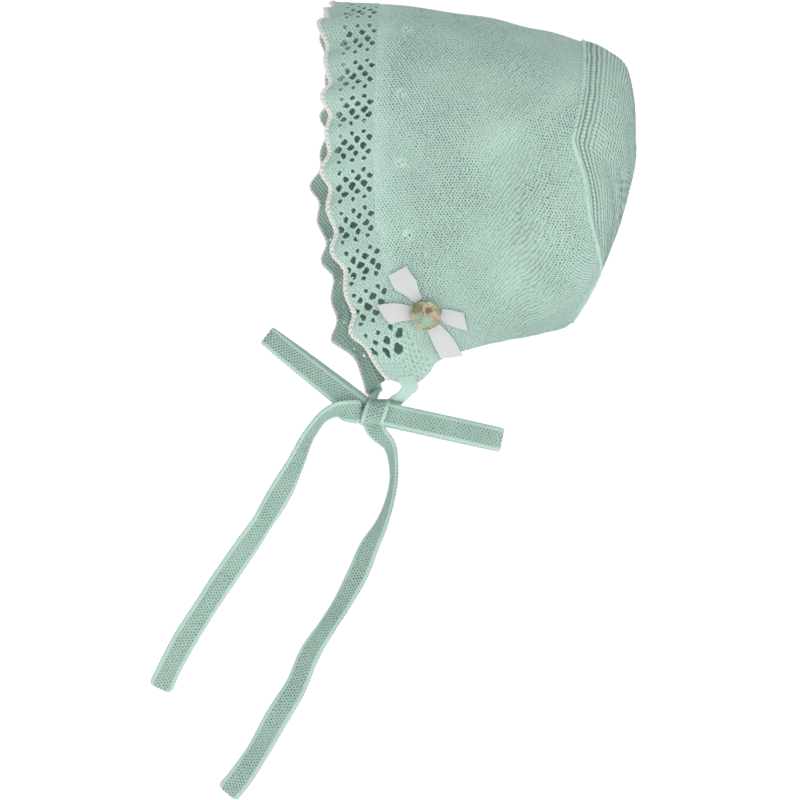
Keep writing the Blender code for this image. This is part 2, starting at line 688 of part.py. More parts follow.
def make_button(finish):
    """A turned button lying on the bow, parallel to the knit under it."""
    along, turn = bow_centre()
    normal = slopes_at(along, turn)[2]
    aft = slopes_at(along, turn)[0]
    aft /= np.linalg.norm(aft)
    rise = np.cross(normal, aft)
    seat = skin(along, turn) + normal * BUTTON_LIFT
    sides = BUTTON_SIDES
    angles = np.linspace(0, math.tau, sides, endpoint=False)
    rings = []
    for radius, height in BUTTON_OUTLINE:
        spread = np.outer(np.cos(angles), aft) + np.outer(np.sin(angles), rise)
        rings.append(seat + spread * radius * BUTTON_RADIUS + normal * height * BUTTON_THICK)
    points = np.concatenate(rings)
    faces = []
    for i in range(len(rings) - 1):
        nearer, further = i * sides, (i + 1) * sides
        for k in range(sides):
            after = (k + 1) % sides
            faces.append((nearer + k, nearer + after, further + after, further + k))
    return add_mesh("button", points, faces, finish)


def main():
    """Clear the scene and make every piece."""
    for old in list(bpy.data.objects):
        bpy.data.objects.remove(old, do_unlink=True)
    stockinette = material("mint_stockinette", (0.36, 0.58, 0.49), 0.9)
    make_main_panel(stockinette)
    make_back_panel(material("mint_garter", (0.38, 0.60, 0.51), 0.9))
    make_seam_welt(material("mint_welt", (0.40, 0.62, 0.53), 0.9))
    make_lace_frill(material("mint_lace", (0.34, 0.55, 0.46), 0.9))
    make_edging_braid(material("white_chain", (0.82, 0.80, 0.76), 0.85))
    tie = material("mint_tie", (0.33, 0.55, 0.46), 0.9)
    make_knot(tie)
    make_strap("tie_strap_left", 1, LEFT_STRAP_PLACE, LEFT_STRAP, LEFT_STRAP_END,
               LEFT_STRAP_WIDE, tie)
    make_strap("tie_strap_right", -1, RIGHT_STRAP_PLACE, RIGHT_STRAP, RIGHT_STRAP_END,
               RIGHT_STRAP_WIDE, tie)
    make_loop("bow_loop_front", FRONT_LOOP_WAY, FRONT_LOOP, FRONT_LOOP_START, tie)
    make_loop("bow_loop_back", BACK_LOOP_WAY, BACK_LOOP, BACK_LOOP_START, tie)
    make_tail("tie_tail_front", FRONT_TAIL, FRONT_TAIL_DROP, tie)
    make_tail("tie_tail_back", BACK_TAIL, BACK_TAIL_DROP, tie)
    satin = material("satin_ribbon", (0.72, 0.72, 0.71), 0.45)
    ribbon("ribbon_loop_upper", RIBBON_UPPER, satin)
    ribbon("ribbon_loop_front", RIBBON_FRONT, satin)
    ribbon("ribbon_tail_short", RIBBON_SHORT, satin)
    ribbon("ribbon_tail_long", RIBBON_LONG, satin)
    make_button(material("marbled_button", (0.45, 0.38, 0.18), 0.3))
    make_thread(material("sewing_thread", (0.80, 0.76, 0.62), 0.8))


main()
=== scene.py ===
"""The looks of a knitted baby bonnet: stitches, lace, edging, ties, ribbon bow and button.

Metres, +Z up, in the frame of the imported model. The face opening looks towards -Y and
the wearer's left is +X.
"""
import math

import bpy
import numpy as np
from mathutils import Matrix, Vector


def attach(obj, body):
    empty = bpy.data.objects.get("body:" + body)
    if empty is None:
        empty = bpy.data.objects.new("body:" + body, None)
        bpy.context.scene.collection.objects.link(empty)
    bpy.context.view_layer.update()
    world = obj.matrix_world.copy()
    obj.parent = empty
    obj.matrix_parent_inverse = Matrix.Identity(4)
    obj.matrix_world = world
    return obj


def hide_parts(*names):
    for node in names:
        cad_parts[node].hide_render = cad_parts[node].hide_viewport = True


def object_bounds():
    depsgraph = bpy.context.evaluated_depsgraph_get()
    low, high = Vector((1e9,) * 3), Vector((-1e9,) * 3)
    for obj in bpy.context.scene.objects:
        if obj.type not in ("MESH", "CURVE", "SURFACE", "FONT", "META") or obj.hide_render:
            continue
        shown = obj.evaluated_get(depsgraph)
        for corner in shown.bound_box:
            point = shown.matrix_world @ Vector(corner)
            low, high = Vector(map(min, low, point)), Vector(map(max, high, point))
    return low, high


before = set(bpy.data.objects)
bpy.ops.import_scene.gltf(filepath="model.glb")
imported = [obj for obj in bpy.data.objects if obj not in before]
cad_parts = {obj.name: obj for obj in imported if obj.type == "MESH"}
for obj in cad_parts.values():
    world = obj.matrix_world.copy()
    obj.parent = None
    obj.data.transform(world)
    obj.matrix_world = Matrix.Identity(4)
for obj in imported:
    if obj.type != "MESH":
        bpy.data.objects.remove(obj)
CAD_BOUNDS = [list(corner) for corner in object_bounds()]

# Sizes of the knitted body
DEPTH = 0.1148
CROWN = 0.0654
HALF_WIDTH = 0.0585
CHIN_DROP = 0.121
LACE_SEAM_Y = -0.045
AXIS_Z = -0.0578
WALL = 0.0016
BODY_UNEVENNESS = 0.00040
# Points of a panel's fine side for each point of its coarse side
PANEL_STEP = 4

# Sizes of the stitches: the dark gaps of the knit lie in offset rows
WALES_PER_REPEAT = 16
BODY_COURSES = 64
COURSE = 0.00150
WALE = 0.00105
STITCH_RELIEF = 0.00026
# Where the knit's painted gap shade is lifted: the reach of the band beside the frill, its strength, and the
# fold height that paints a fold's ridge light
SMOOTH_EDGE = 0.0060
SMOOTH_EDGE_PART = 0.8
FOLD_LIGHT_HEIGHT = 0.0060

# Sizes of the frill and its edging
FRILL_WIDTH = 0.0178
FRILL_WALL = 0.0012
FRILL_OVERLAP = 0.05
LOBE_LARGE = 0.0038
LOBE_SMALL = 0.0016
LOBE_TOP_EXTRA = 0.0042
LOBE_TOP_TURN = 48
LOBE_TOP_BLEND = 7
LOBE_TOP_REPEATS = 0.7
LOBE_TOP_START = 0.35
RUFFLE = 0.0016
RUFFLE_SECOND = 0.6
REPEATS_PER_SIDE = 11
REPEAT = 0.0168
FRILL_LEAN = 4.0
LEAN_REPEATS = 2.5
CHIN_SHARE = 0.8
RIGHT_CHIN_DROOP = 3.3
RIGHT_CHIN_PULL = 0.0040
LEFT_CHIN_BULGE = 2.8
BULGE_POWER = 0.75
NARROW_FROM = 7
CHIN_NARROW = 0.0028
DRAW_IN_POWER = 0.6
RIGHT_SHIFT = 0.006
RIGHT_NECK_RAISE = 1.8
LINK_LENGTH = 0.0027
LINK_PITCH = 0.00205
LINK_WIDTH = 0.0017
LINK_YARN = 0.00060
LINK_SHIFT = 0.0007
RIGHT_LINK_SHIFT = -0.0002
RIGHT_LINK_RAISE = 0.0009
LINK_LIFT = 0.00030

# Sizes of the back panel's ridges and its seam
RIDGE = 0.0020
RIDGE_BUMP = 0.00185
RIDGE_RELIEF = 0.00045
BACK_UNEVENNESS = 0.0004
BACK_ROWS = 680
BACK_COLUMNS = 120
# The middle line that the ridges run to: flat angles of its upper and lower end, and its start
SPINE_TOP = 0.20
SPINE_LOW = 1.02
SPINE_TURN = 0.75
SEAM_RIDGE = 0.00257
SEAM_RIDGES = 4
SEAM_RIDGES_START = 0.0014
SEAM_RIDGES_FADE = 0.012
GROOVE_SWAY = 0.14
WELT_RADIUS = 0.0011
WELT_SUNK = 0.0003

# Sizes of the ties
TIE_WIDTH = 0.0108
TIE_THICK = 0.0020
TIE_WALES = 9
TIE_CORNER = 0.0022
PIPING_PLACE = 0.84
PIPING_WIDTH = 0.10
PIPING_RELIEF = 2.2
STRAP_SMOOTH = 1.1
TIE_FINENESS = 4
KNOT_X = 0.004
KNOT_Y = -0.0477
KNOT_Z = -0.1757
KNOT_HEIGHT = 0.0120
KNOT_HALF_LENGTH = 0.0052
KNOT_HALF_DEPTH = 0.0062
KNOT_LEAN = 0.36
KNOT_ROUNDING = 0.8
STRAP_SEWN = 0.0045
STRAP_SEWN_LIFT = -0.0006
STRAP_BEND_PARTS = 5
STRAP_BACK = 0.14
LEFT_STRAP_PLACE = 0.54
RIGHT_STRAP_PLACE = 0.80
FRONT_LOOP_WIDTHS = (1.02, 0.84)
BACK_LOOP_WIDTHS = (0.96, 1.00)
FRONT_LOOP = 0.0540
BACK_LOOP = 0.0558
FRONT_LOOP_SHIFT = 0.0007
BACK_LOOP_SHIFT = 0.0002
FRONT_TAIL_DROP = 0.1236
BACK_TAIL_DROP = 0.1706

# Sizes of the ribbon bow and its button
RIBBON_WIDTH = 0.0100
RIBBON_THICK = 0.0003
RIBBON_LIFT = 0.0006
RIBBON_CROWN = 0.0004
RIBBON_LAYER = 0.0006
BOW_ALONG = 0.1485
BOW_TURN = 146.8
BUTTON_RADIUS = 0.0066
BUTTON_THICK = 0.0030
BUTTON_LIFT = 0.0025
THREAD_RADIUS = 0.0011

# Directions of the bow's loops, and of the straps' width where they meet the knot
FRONT_LOOP_WAY = (0.0, -0.80, 0.62)
BACK_LOOP_WAY = (0.0, 0.975, -0.215)
LEFT_STRAP_WIDE = (0.0, 0.88, -0.47)
RIGHT_STRAP_WIDE = (0.35, 0.94, 0.0)
# Places in the knot, as shares of its half depth, half length and height
FRONT_LOOP_START = (-0.16, -1.0, 0.083)
BACK_LOOP_START = (0.19, 0.42, -0.042)
LEFT_STRAP_END = (-0.85, 1.12, 0.12)
RIGHT_STRAP_END = (-0.30, -0.45, 0.30)

# Body sections: share of the depth, then of the crown height, half width and chin drop
SECTIONS = (
    (-0.27, 0.962, 0.930, 0.970),
    (0.00, 1.000, 0.940, 1.000),
    (0.22, 0.955, 0.985, 1.000),
    (0.44, 0.897, 1.000, 0.950),
    (0.64, 0.818, 0.970, 0.745),
    (0.745, 0.773, 0.900, 0.647),
    (0.83, 0.737, 0.800, 0.517),
    (0.90, 0.687, 0.660, 0.368),
    (0.953, 0.620, 0.490, 0.227),
    (0.983, 0.525, 0.320, 0.116),
    (0.9965, 0.380, 0.160, 0.041),
    (1.0, 0.0, 0.0, 0.0),
)
UPPER_ROUNDING = 2.1
LOWER_ROUNDING = 2.4

# Lines on the body: degrees turned from the top, then the share of the depth
LACE_LINE = (
    (0, -0.004), (15, -0.010), (30, -0.024), (52, -0.042), (76, -0.055), (94, -0.0575),
    (111, -0.053), (125, -0.045), (135, -0.0175), (145, 0.018), (150, 0.058),
    (153.5, 0.098), (157.6, 0.185), (165, 0.310), (173.5, 0.440),
)
SEAM_LINE = (
    (0, 0.801), (22, 0.784), (44, 0.767), (62, 0.751), (73, 0.734), (83.5, 0.713),
    (89, 0.704), (94, 0.715), (106, 0.749), (114, 0.762), (124, 0.775), (132, 0.796),
    (141, 0.819), (150, 0.835), (160, 0.845), (168, 0.828), (172, 0.793), (173.5, 0.745),
)
# The neck edge: share of the way from the lace to the seam, then degrees from the top
NECK_LINE = (
    (0.0, 157.6), (0.10, 156.2), (0.27, 154.4), (0.455, 153.5), (0.516, 153.9),
    (0.62, 157.5), (0.707, 164.1), (0.76, 167.3), (1.0, 173.5),
)
# Soft folds: start and end as share across and degrees, then width and height
FOLDS = (
    (0.92, 66, 0.52, 92, 0.0075, 0.0018),
    (0.88, 118, 0.62, 136, 0.0090, 0.0014),
    (0.70, 60, 0.82, 84, 0.0100, -0.0012),
)
# The right side of the lace line, drawn back or forward: degrees, share of RIGHT_SHIFT
RIGHT_LACE_SHIFT = (
    (0, 0.0), (10, 0.08), (30, 0.58), (55, 0.68), (75, 0.58), (98, 0.0), (132, 0.0),
    (158, -1.0), (173.5, -1.0),
)
# The frill's repeats, a little uneven: share of their count, then of the way along the lace
REPEAT_PLACES = (
    (0.0, 0.0), (0.136, 0.109), (0.227, 0.223), (0.318, 0.318), (0.5, 0.479), (0.682, 0.644),
    (0.864, 0.816), (0.955, 0.914), (1.0, 1.0),
)
# Raised eyelets of the body: degrees from the top, then the front-to-back place in metres
EYELETS = ((35.5, -0.0354), (67.8, -0.0393), (99.3, -0.0399), (127.0, -0.0367))
# Height of an eyelet in metres, and its half size backward and downward in millimetres
EYELET_HEIGHT = 0.0009
EYELET_BACKWARD = 1.9
EYELET_DOWNWARD = 1.7
# Pinholes of an eyelet, dented and painted dark as shade: back and down from its middle, and their radius,
# in millimetres
PINHOLES = ((-0.5, 0.9), (0.9, -0.1))
PINHOLE = 0.50
PINHOLE_DEPTH = 0.0008

# Holes of one lace cluster: row's place in repeats, back by how many steps, radius in mm
HOLE_ROWS = (
    (-0.36, 0.05, 0.78), (-0.185, 0.50, 1.12), (0.0, 0.0, 1.30), (0.18, 0.38, 1.14), (0.345, 0.02, 0.80),
)
HOLES_IN_ROW = 3
CHIN_HOLE_ROWS = 3
HOLE_STEP = 0.0053
HOLE_NEAREST = 0.0042
HOLE_LEAST = 0.0016
RIGHT_HOLE_SHARE = 0.36
# Grid of the frill: rows in a repeat, and columns across
FRILL_ROWS = 39
FRILL_COLUMNS = 54
# How far from a hole's middle the knit is drawn aside, and how uneven the holes are
DRAWN_ASIDE = 0.00195
HOLE_ROUND_DRIFT = 0.00025
HOLE_OUTWARD_DRIFT = 0.0003
HOLE_SIZE_DRIFT = 0.14
# The rolled knit round a hole: its distance from the rim, its width, and the width of the painted shade at
# the rim
RIM_ROLL = 0.00045
RIM_ROLL_WIDTH = 0.0003
RIM_SHADE = 0.00016
FRILL_TUCK = 0.00035
# Where outward the painted shade on the frill's wrong side starts to fade, and over what share
LACE_SHADE = 0.50
LACE_SHADE_FADE = 0.22

# Tails: forward and down as shares of the tail's drop, out as thicknesses, twist in degrees
FRONT_TAIL = (
    (-0.050, 0.000, 1.9, 0), (-0.100, -0.004, 1.9, -24), (-0.137, -0.008, 1.7, -50),
    (-0.181, 0.012, 1.4, -62), (-0.232, 0.072, 1.0, -60), (-0.292, 0.195, 0.4, -38),
    (-0.354, 0.312, -0.1, -10), (-0.405, 0.396, -0.2, -26), (-0.478, 0.504, 0.2, -12),
    (-0.550, 0.608, 0.3, -10), (-0.620, 0.715, 0.0, -16), (-0.683, 0.815, -0.2, -6),
    (-0.738, 0.915, 0.0, -12), (-0.778, 1.000, 0.2, -6),
)
BACK_TAIL = (
    (-0.008, 0.014, -0.3, 24), (0.005, 0.048, -0.3, 38), (0.040, 0.090, 0.1, 64),
    (0.049, 0.132, 0.3, 74), (0.050, 0.182, 0.3, 78), (0.042, 0.226, 0.0, 76),
    (0.015, 0.302, -0.2, 62), (-0.012, 0.350, -0.2, 42), (-0.043, 0.422, 0.0, 32),
    (-0.085, 0.500, 0.3, 44), (-0.123, 0.560, 0.3, 46), (-0.170, 0.633, 0.0, 34),
    (-0.208, 0.722, -0.2, 28), (-0.255, 0.798, 0.0, 12), (-0.312, 0.898, 0.1, 26),
    (-0.356, 0.962, 0.0, 12), (-0.388, 1.000, 0.0, 6),
)
# Straps from the chin corner to the knot: share of the way in X, Y and Z, then width share
LEFT_STRAP = (
    (0.00, 0.00, 0.00, 0.66), (0.06, 0.16, 0.18, 0.64), (0.25, 0.28, 0.34, 0.62),
    (0.55, 0.38, 0.46, 0.62), (0.84, 0.48, 0.58, 0.62), (1.00, 0.58, 0.72, 0.60),
    (1.02, 0.74, 0.86, 0.60), (1.00, 1.00, 1.00, 0.58),
)
RIGHT_STRAP = (
    (0.00, 0.00, 0.00, 0.66), (0.20, 0.16, 0.24, 0.56), (0.45, 0.42, 0.48, 0.52),
    (0.72, 0.72, 0.74, 0.54), (0.92, 0.94, 0.92, 0.56), (1.00, 1.00, 1.00, 0.58),
)
# Loops of the bow: share of the length, half the space between its two layers in thicknesses
LOOP_SPREAD = (
    (0.0, 0.62), (0.15, 0.85), (0.4, 1.2), (0.7, 1.15), (0.9, 0.95), (0.97, 0.7), (1.0, 0.0),
)
# Ribbon: back and up of its two edges in ribbon widths, height in layers
RIBBON_UPPER = (
    ((-0.52, 0.40), (-0.22, 0.66), 0.3), ((-1.05, 0.72), (-0.42, 1.00), 1.6),
    ((-1.50, 0.98), (-0.58, 1.42), 2.4), ((-1.82, 1.52), (-1.08, 2.02), 1.6),
)
RIBBON_FRONT = (
    ((-0.62, 0.22), (-0.60, -0.36), 0.3), ((-1.20, 0.32), (-1.18, -0.50), 1.8),
    ((-1.75, 0.28), (-1.50, -0.62), 2.6), ((-2.18, 0.16), (-1.80, -0.40), 1.6),
)
RIBBON_SHORT = (
    ((0.66, 0.26), (0.62, -0.22), 0.3), ((1.10, 0.22), (1.05, -0.48), 0.4),
    ((1.62, 0.12), (1.86, -0.68), 0.8),
)
RIBBON_LONG = (
    ((0.10, -0.70), (0.62, -0.42), 0.3), ((0.46, -1.40), (1.22, -1.02), 0.4),
    ((0.80, -2.00), (1.75, -1.85), 0.8),
)
RIBBONS = (
    ("ribbon_upper", RIBBON_UPPER, "ribbon_loop_upper"),
    ("ribbon_front", RIBBON_FRONT, "ribbon_loop_front"),
    ("ribbon_short", RIBBON_SHORT, "ribbon_tail_short"),
    ("ribbon_long", RIBBON_LONG, "ribbon_tail_long"),
)
# Half outline of the button: share of the radius, share of the thickness
BUTTON_OUTLINE = (
    (0.0, 0.0), (0.80, 0.0), (0.93, 0.08), (0.99, 0.28), (1.0, 0.50), (0.99, 0.78), (0.96, 0.94),
    (0.92, 1.0), (0.88, 0.97), (0.84, 0.90), (0.76, 0.86), (0.40, 0.84), (0.0, 0.84),
)

# Patches of the button's marbling: place and size in button radii, then the linear colour
BUTTON_PATCHES = (
    (-0.62, 0.40, 0.45, (0.19, 0.165, 0.080)), (0.12, 0.40, 0.30, (0.15, 0.105, 0.055)),
    (-0.22, 0.14, 0.20, (0.17, 0.120, 0.065)), (0.45, 0.05, 0.26, (0.42, 0.37, 0.17)),
    (0.02, -0.42, 0.42, (0.30, 0.50, 0.38)), (-0.42, -0.15, 0.26, (0.27, 0.41, 0.29)),
    (0.92, 0.05, 0.22, (0.56, 0.42, 0.34)), (0.25, 0.80, 0.10, (0.62, 0.50, 0.24)),
    (-0.30, -0.85, 0.11, (0.60, 0.50, 0.28)),
)

# Light: the surround's and the stage's brightness, the key light's watts, size, place and aim
SURROUND = 0.64
STAGE_GLOW = 0.40
KEY_POWER = 7.5
KEY_SIZE = 0.7
KEY_PLACE = (1.6, 0.45, -0.30)
KEY_AIM = (0.0, -0.03, -0.15)

# Camera: degrees round from the front, distance, aim and lens in millimetres
CAMERA_TURN = 86
CAMERA_DISTANCE = 1.6
CAMERA_AIM = (0.0, -0.036, -0.1703)
CAMERA_LENS = 160

# Colours, linear
LIGHT_MINT = (0.540, 0.735, 0.648)
MID_MINT = (0.370, 0.535, 0.462)
# Painted shade in the knit's gaps, light and deep
GAP_SHADE_MINT = (0.175, 0.285, 0.235)
GAP_SHADE_DEEP_MINT = (0.050, 0.105, 0.080)
# Painted shade of the hollow, for the wrong side of the knit
HOLLOW_SHADE_MINT = (0.230, 0.360, 0.300)
HOLLOW_SHADE_DEEP_MINT = (0.120, 0.210, 0.170)
CHAIN_WHITE = (0.880, 0.875, 0.855)
SATIN_WHITE = (0.725, 0.735, 0.735)
# Noise in the knits: scale, detail, gain and offset
COURSE_DRIFT = (430.0, 2.0, 1.7, -0.85)
WALE_DRIFT = (300.0, 2.0, 1.3, -0.65)
GAP_UNEVENNESS = (620.0, 2.0, 2.6, -0.55)
KNIT_PATCHES = (42.0, 1.0, 3.2, -1.0)
KNIT_FUZZ = (1500.0, 2.0, 0.44, -0.20)
KNIT_TONE = (60.0, 2.0, 0.16, 0.92)
GARTER_UNEVENNESS = (480.0, 2.0, 1.6, -0.10)
GARTER_FUZZ = (2400.0, 2.0, 0.22, -0.11)
# Depths of the knits' fine relief, and the strength of the thin lines between wales
KNIT_BUMP = 0.0004
GARTER_BUMP = 0.0007
PURL_BUMP = 0.0003
WALE_LINES = 0.16
# Colours of the knit from the bottom of its gaps up to its stitches: the darker stops are painted shade in
# the gaps
KNIT_COLOURS_AND_GAP_SHADE = ((0.0, GAP_SHADE_DEEP_MINT), (0.30, GAP_SHADE_MINT), (0.62, MID_MINT), (0.95, LIGHT_MINT))


def smooth(knots, rows, at):
    """A smooth curve through the rows of a table, read where the knots say."""
    knots = np.asarray(knots, float)
    rows = np.asarray(rows, float)
    at = np.clip(at, knots[0], knots[-1])
    place = np.clip(np.searchsorted(knots, at, side="right") - 1, 0, len(knots) - 2)
    span = knots[place + 1] - knots[place]
    share = (at - knots[place]) / span
    slopes = np.gradient(rows, knots, axis=0)
    if rows.ndim > 1:
        span = span[..., None]
        share = share[..., None]
    rise = share * share * (3 - 2 * share)
    start = rows[place] * (1 - rise) + slopes[place] * span * share * (1 - share) ** 2
    return start + rows[place + 1] * rise + slopes[place + 1] * span * share * share * (share - 1)


def lengths_along(points):
    """The length of a path up to each of its points."""
    return np.concatenate(((0.0,), np.cumsum(np.linalg.norm(np.diff(points, axis=0), axis=1))))


def unit(vectors):
    """Vectors at a length of one."""
    return vectors / np.linalg.norm(vectors, axis=-1, keepdims=True)


def circle(count):
    """Equally spaced angles round a circle."""
    return np.linspace(0, math.tau, count, endpoint=False)


def section_rows():
    """The body sections in metres, and how far along the outline each one lies."""
    rows = np.array(SECTIONS) * (DEPTH, CROWN, HALF_WIDTH, CHIN_DROP)
    rows[:, 0] += LACE_SEAM_Y
    lengths = lengths_along(rows[:, :3])
    return rows, lengths / lengths[-1]


ROWS, KNOTS = section_rows()
ALONG_SAMPLES = np.linspace(0, 1, 801)
Y_SAMPLES = smooth(KNOTS, ROWS, ALONG_SAMPLES)[:, 0]
TINY = 1e-6
STEP = 2e-4
SHARP_ANGLE = 76


def skin(along, turn):
    """A point of the bare outer form, at a share along it and an angle from the top."""
    along, turn = np.broadcast_arrays(np.asarray(along, float), np.asarray(turn, float))
    row = smooth(KNOTS, ROWS, along)
    upper = np.cos(turn) > 0
    power = np.where(upper, UPPER_ROUNDING, LOWER_ROUNDING)
    tall = np.maximum(np.where(upper, row[..., 1], row[..., 3]), TINY)
    side = np.maximum(row[..., 2], TINY)
    spread = (np.abs(np.sin(turn)) / side) ** power + (np.abs(np.cos(turn)) / tall) ** power
    reach = spread ** (-1 / power)
    return np.stack((reach * np.sin(turn), row[..., 0], AXIS_Z + reach * np.cos(turn)), axis=-1)


def slopes_at(along, turn):
    """The two directions in the surface and the outward normal at a place."""
    along = np.clip(along, STEP, 1 - 2 * STEP)
    back = (skin(along + STEP, turn) - skin(along - STEP, turn)) / (2 * STEP)
    round_ = (skin(along, turn + STEP) - skin(along, turn - STEP)) / (2 * STEP)
    return back, round_, unit(np.cross(round_, back))


def lifted(along, turn, height):
    """A point that stands off the bare form by a height."""
    normal = slopes_at(along, turn)[2]
    return skin(along, turn) + normal * np.asarray(height)[..., None]


def along_at(y):
    """How far along the body a front-to-back place lies."""
    return np.interp(y, Y_SAMPLES, ALONG_SAMPLES)


def line_y(table, turn):
    """The front-to-back place of a line on the body, alike on both sides."""
    table = np.array(table)
    return LACE_SEAM_Y + DEPTH * smooth(np.radians(table[:, 0]), table[:, 1], np.abs(turn))


def lace_y(turn):
    """The lace line, which the tied straps draw forward at the right chin corner."""
    table = np.array(RIGHT_LACE_SHIFT)
    shift = smooth(np.radians(table[:, 0]), table[:, 1], np.maximum(-np.asarray(turn), 0.0))
    return line_y(LACE_LINE, turn) + RIGHT_SHIFT * shift


def neck_turn(across):
    """The angle of the neck edge at a share of the way from the lace to the seam."""
    table = np.array(NECK_LINE)
    return np.radians(smooth(table[:, 0], table[:, 1], across))


def panel_turn(down, across):
    """The angle at a share of the way down one side, with the right neck edge drawn up."""
    raised = np.where(down < 0, np.radians(RIGHT_NECK_RAISE) * np.sin(math.pi * across), 0.0)
    return down * (neck_turn(across) - raised)


def panel_along(across, turn):
    """The place along the body at a share of the way from the lace to the seam."""
    front = lace_y(turn)
    return along_at(front + (line_y(SEAM_LINE, turn) - front) * across)


def fold_height(along, turn):
    """The height of the soft folds of the body, alike on both sides."""
    place = skin(along, np.abs(turn))
    height = np.zeros(place.shape[:-1])
    for across_a, turn_a, across_b, turn_b, width, rise in FOLDS:
        start = skin(panel_along(across_a, math.radians(turn_a)), math.radians(turn_a))
        end = skin(panel_along(across_b, math.radians(turn_b)), math.radians(turn_b))
        run = end - start
        share = np.clip((place - start) @ run / (run @ run), 0, 1)
        gap = np.linalg.norm(place - start - share[..., None] * run, axis=-1)
        height += rise * np.exp(-(gap / width) ** 2)
    return height


def lace_turns():
    """The angle of the lace line at equal lengths along it, as a table of share and angle."""
    last = math.radians(NECK_LINE[0][1])
    turn = np.linspace(0, last, 200)
    points = skin(along_at(line_y(LACE_LINE, turn)), turn)
    length = lengths_along(points)
    return length / length[-1], turn


LACE_SHARES, LACE_TURNS = lace_turns()


def repeat_turn(count):
    """The angle of the lace line at a count of repeats from the top."""
    table = np.array(REPEAT_PLACES)
    place = smooth(table[:, 0], table[:, 1], count / REPEATS_PER_SIDE)
    return np.interp(place, LACE_SHARES, LACE_TURNS)


def frill_reach(repeats):
    """The width of the frill at a count of repeats from the top, drawn in at both chin corners."""
    count = np.abs(repeats)
    scallop = 0.5 + 0.5 * np.cos(math.tau * count)
    large = 0.5 + 0.5 * np.cos(math.pi * count)
    lobe = scallop * (LOBE_SMALL + (LOBE_LARGE - LOBE_SMALL) * large)
    near_top = 1 / (1 + np.exp((np.degrees(repeat_turn(count)) - LOBE_TOP_TURN) / LOBE_TOP_BLEND))
    grown = np.clip(count / LOBE_TOP_REPEATS, LOBE_TOP_START, 1)
    lower = np.clip((count - NARROW_FROM) / (REPEATS_PER_SIDE - NARROW_FROM), 0, 1)
    drawn_in = CHIN_NARROW * (4 * lower * (1 - lower)) ** DRAW_IN_POWER
    last = np.clip(count - REPEATS_PER_SIDE + 1, 0, 1)
    pulled = RIGHT_CHIN_PULL * 4 * last * (1 - last) * (repeats < 0)
    return FRILL_WIDTH + grown * (lobe + LOBE_TOP_EXTRA * near_top) - drawn_in - pulled


def frill_places(repeats, outward):
    """Places and heights on the frill, at a count of repeats from the top and a share outward."""
    side = np.sign(repeats + TINY)
    count = np.abs(repeats)
    turn = repeat_turn(count)
    chin = np.clip((count / REPEATS_PER_SIDE - CHIN_SHARE) / (1 - CHIN_SHARE), 0, 1) ** 2
    lean = FRILL_LEAN * np.clip(count / LEAN_REPEATS, 0, 1) + RIGHT_CHIN_DROOP * chin * (side < 0)
    bulge = LEFT_CHIN_BULGE * chin * (side > 0) * np.sin(math.pi * np.clip(outward, 0, 1) ** BULGE_POWER)
    along = along_at(lace_y(side * turn) - frill_reach(repeats) * outward)
    ruffle = np.cos(math.tau * count) + RUFFLE_SECOND * np.cos(math.pi * count)
    height = RUFFLE * np.maximum(outward, 0) ** 1.5 * ruffle
    return along, side * (turn + np.radians(lean * outward + bulge)), height


def unevenness(a, b, size, seed):
    """Smooth unevenness between -1 and 1 over two coordinates, with bumps of about one size."""
    draw = np.random.default_rng(seed)
    total = np.zeros(np.broadcast(a, b).shape)
    waves = 7
    for _ in range(waves):
        angle = draw.uniform(0, math.tau)
        phase = draw.uniform(0, math.tau)
        stretch = draw.uniform(0.6, 1.5)
        place = a * math.cos(angle) + b * math.sin(angle)
        total += np.sin(place * math.tau / (size * stretch) + phase)
    return total / waves * 1.6


def stitch_relief(course, wale):
    """The height of plain knit between 0 and 1: its gaps lie in rows, each row half a stitch on."""
    return 0.5 - 0.5 * np.cos(math.tau * course) * np.cos(math.pi * wale)


def put(tree, value, socket):
    """Links a socket to another, or sets it to a value."""
    if isinstance(value, bpy.types.NodeSocket):
        tree.links.new(value, socket)
    else:
        socket.default_value = value


def maths(tree, operation, *values, clamp=False):
    """One step of arithmetic in a material."""
    node = tree.nodes.new("ShaderNodeMath")
    node.operation = operation
    node.use_clamp = clamp
    for socket, value in zip(node.inputs, values):
        put(tree, value, socket)
    return node.outputs[0]


def noise(tree, scale, detail=3.0, distortion=0.0):
    """Noise over the piece's own place, in metres."""
    node = tree.nodes.new("ShaderNodeTexNoise")
    place = tree.nodes.new("ShaderNodeTexCoord")
    tree.links.new(place.outputs["Object"], node.inputs["Vector"])
    node.inputs["Scale"].default_value = scale
    node.inputs["Detail"].default_value = detail
    node.inputs["Distortion"].default_value = distortion
    return node.outputs["Fac"]


def drifting(tree, scale, detail, gain, offset, clamp=False):
    """Noise times a gain, plus an offset."""
    return maths(tree, "MULTIPLY_ADD", noise(tree, scale, detail), gain, offset, clamp=clamp)


def ramp(tree, value, stops):
    """A colour ramp through stops of place and colour."""
    node = tree.nodes.new("ShaderNodeValToRGB")
    elements = node.color_ramp.elements
    while len(elements) < len(stops):
        elements.new(0.5)
    for element, (place, colour) in zip(elements, stops):
        element.position = place
        element.color = (*colour, 1.0)
    put(tree, value, node.inputs["Fac"])
    return node.outputs["Color"]


def tinted(tree, colour, amount):
    """A colour made lighter or darker by an amount around 1."""
    node = tree.nodes.new("ShaderNodeMix")
    node.data_type = "RGBA"
    node.blend_type = "MULTIPLY"
    node.inputs["Factor"].default_value = 1.0
    put(tree, colour, node.inputs["A"])
    grey = tree.nodes.new("ShaderNodeCombineColor")
    for channel in grey.inputs:
        put(tree, amount, channel)
    put(tree, grey.outputs[0], node.inputs["B"])
    return node.outputs["Result"]


def bump(tree, shader, height, distance, strength):
    """Fine relief in a material."""
    node = tree.nodes.new("ShaderNodeBump")
    node.inputs["Distance"].default_value = distance
    node.inputs["Strength"].default_value = strength
    put(tree, height, node.inputs["Height"])
    put(tree, node.outputs["Normal"], shader.inputs["Normal"])


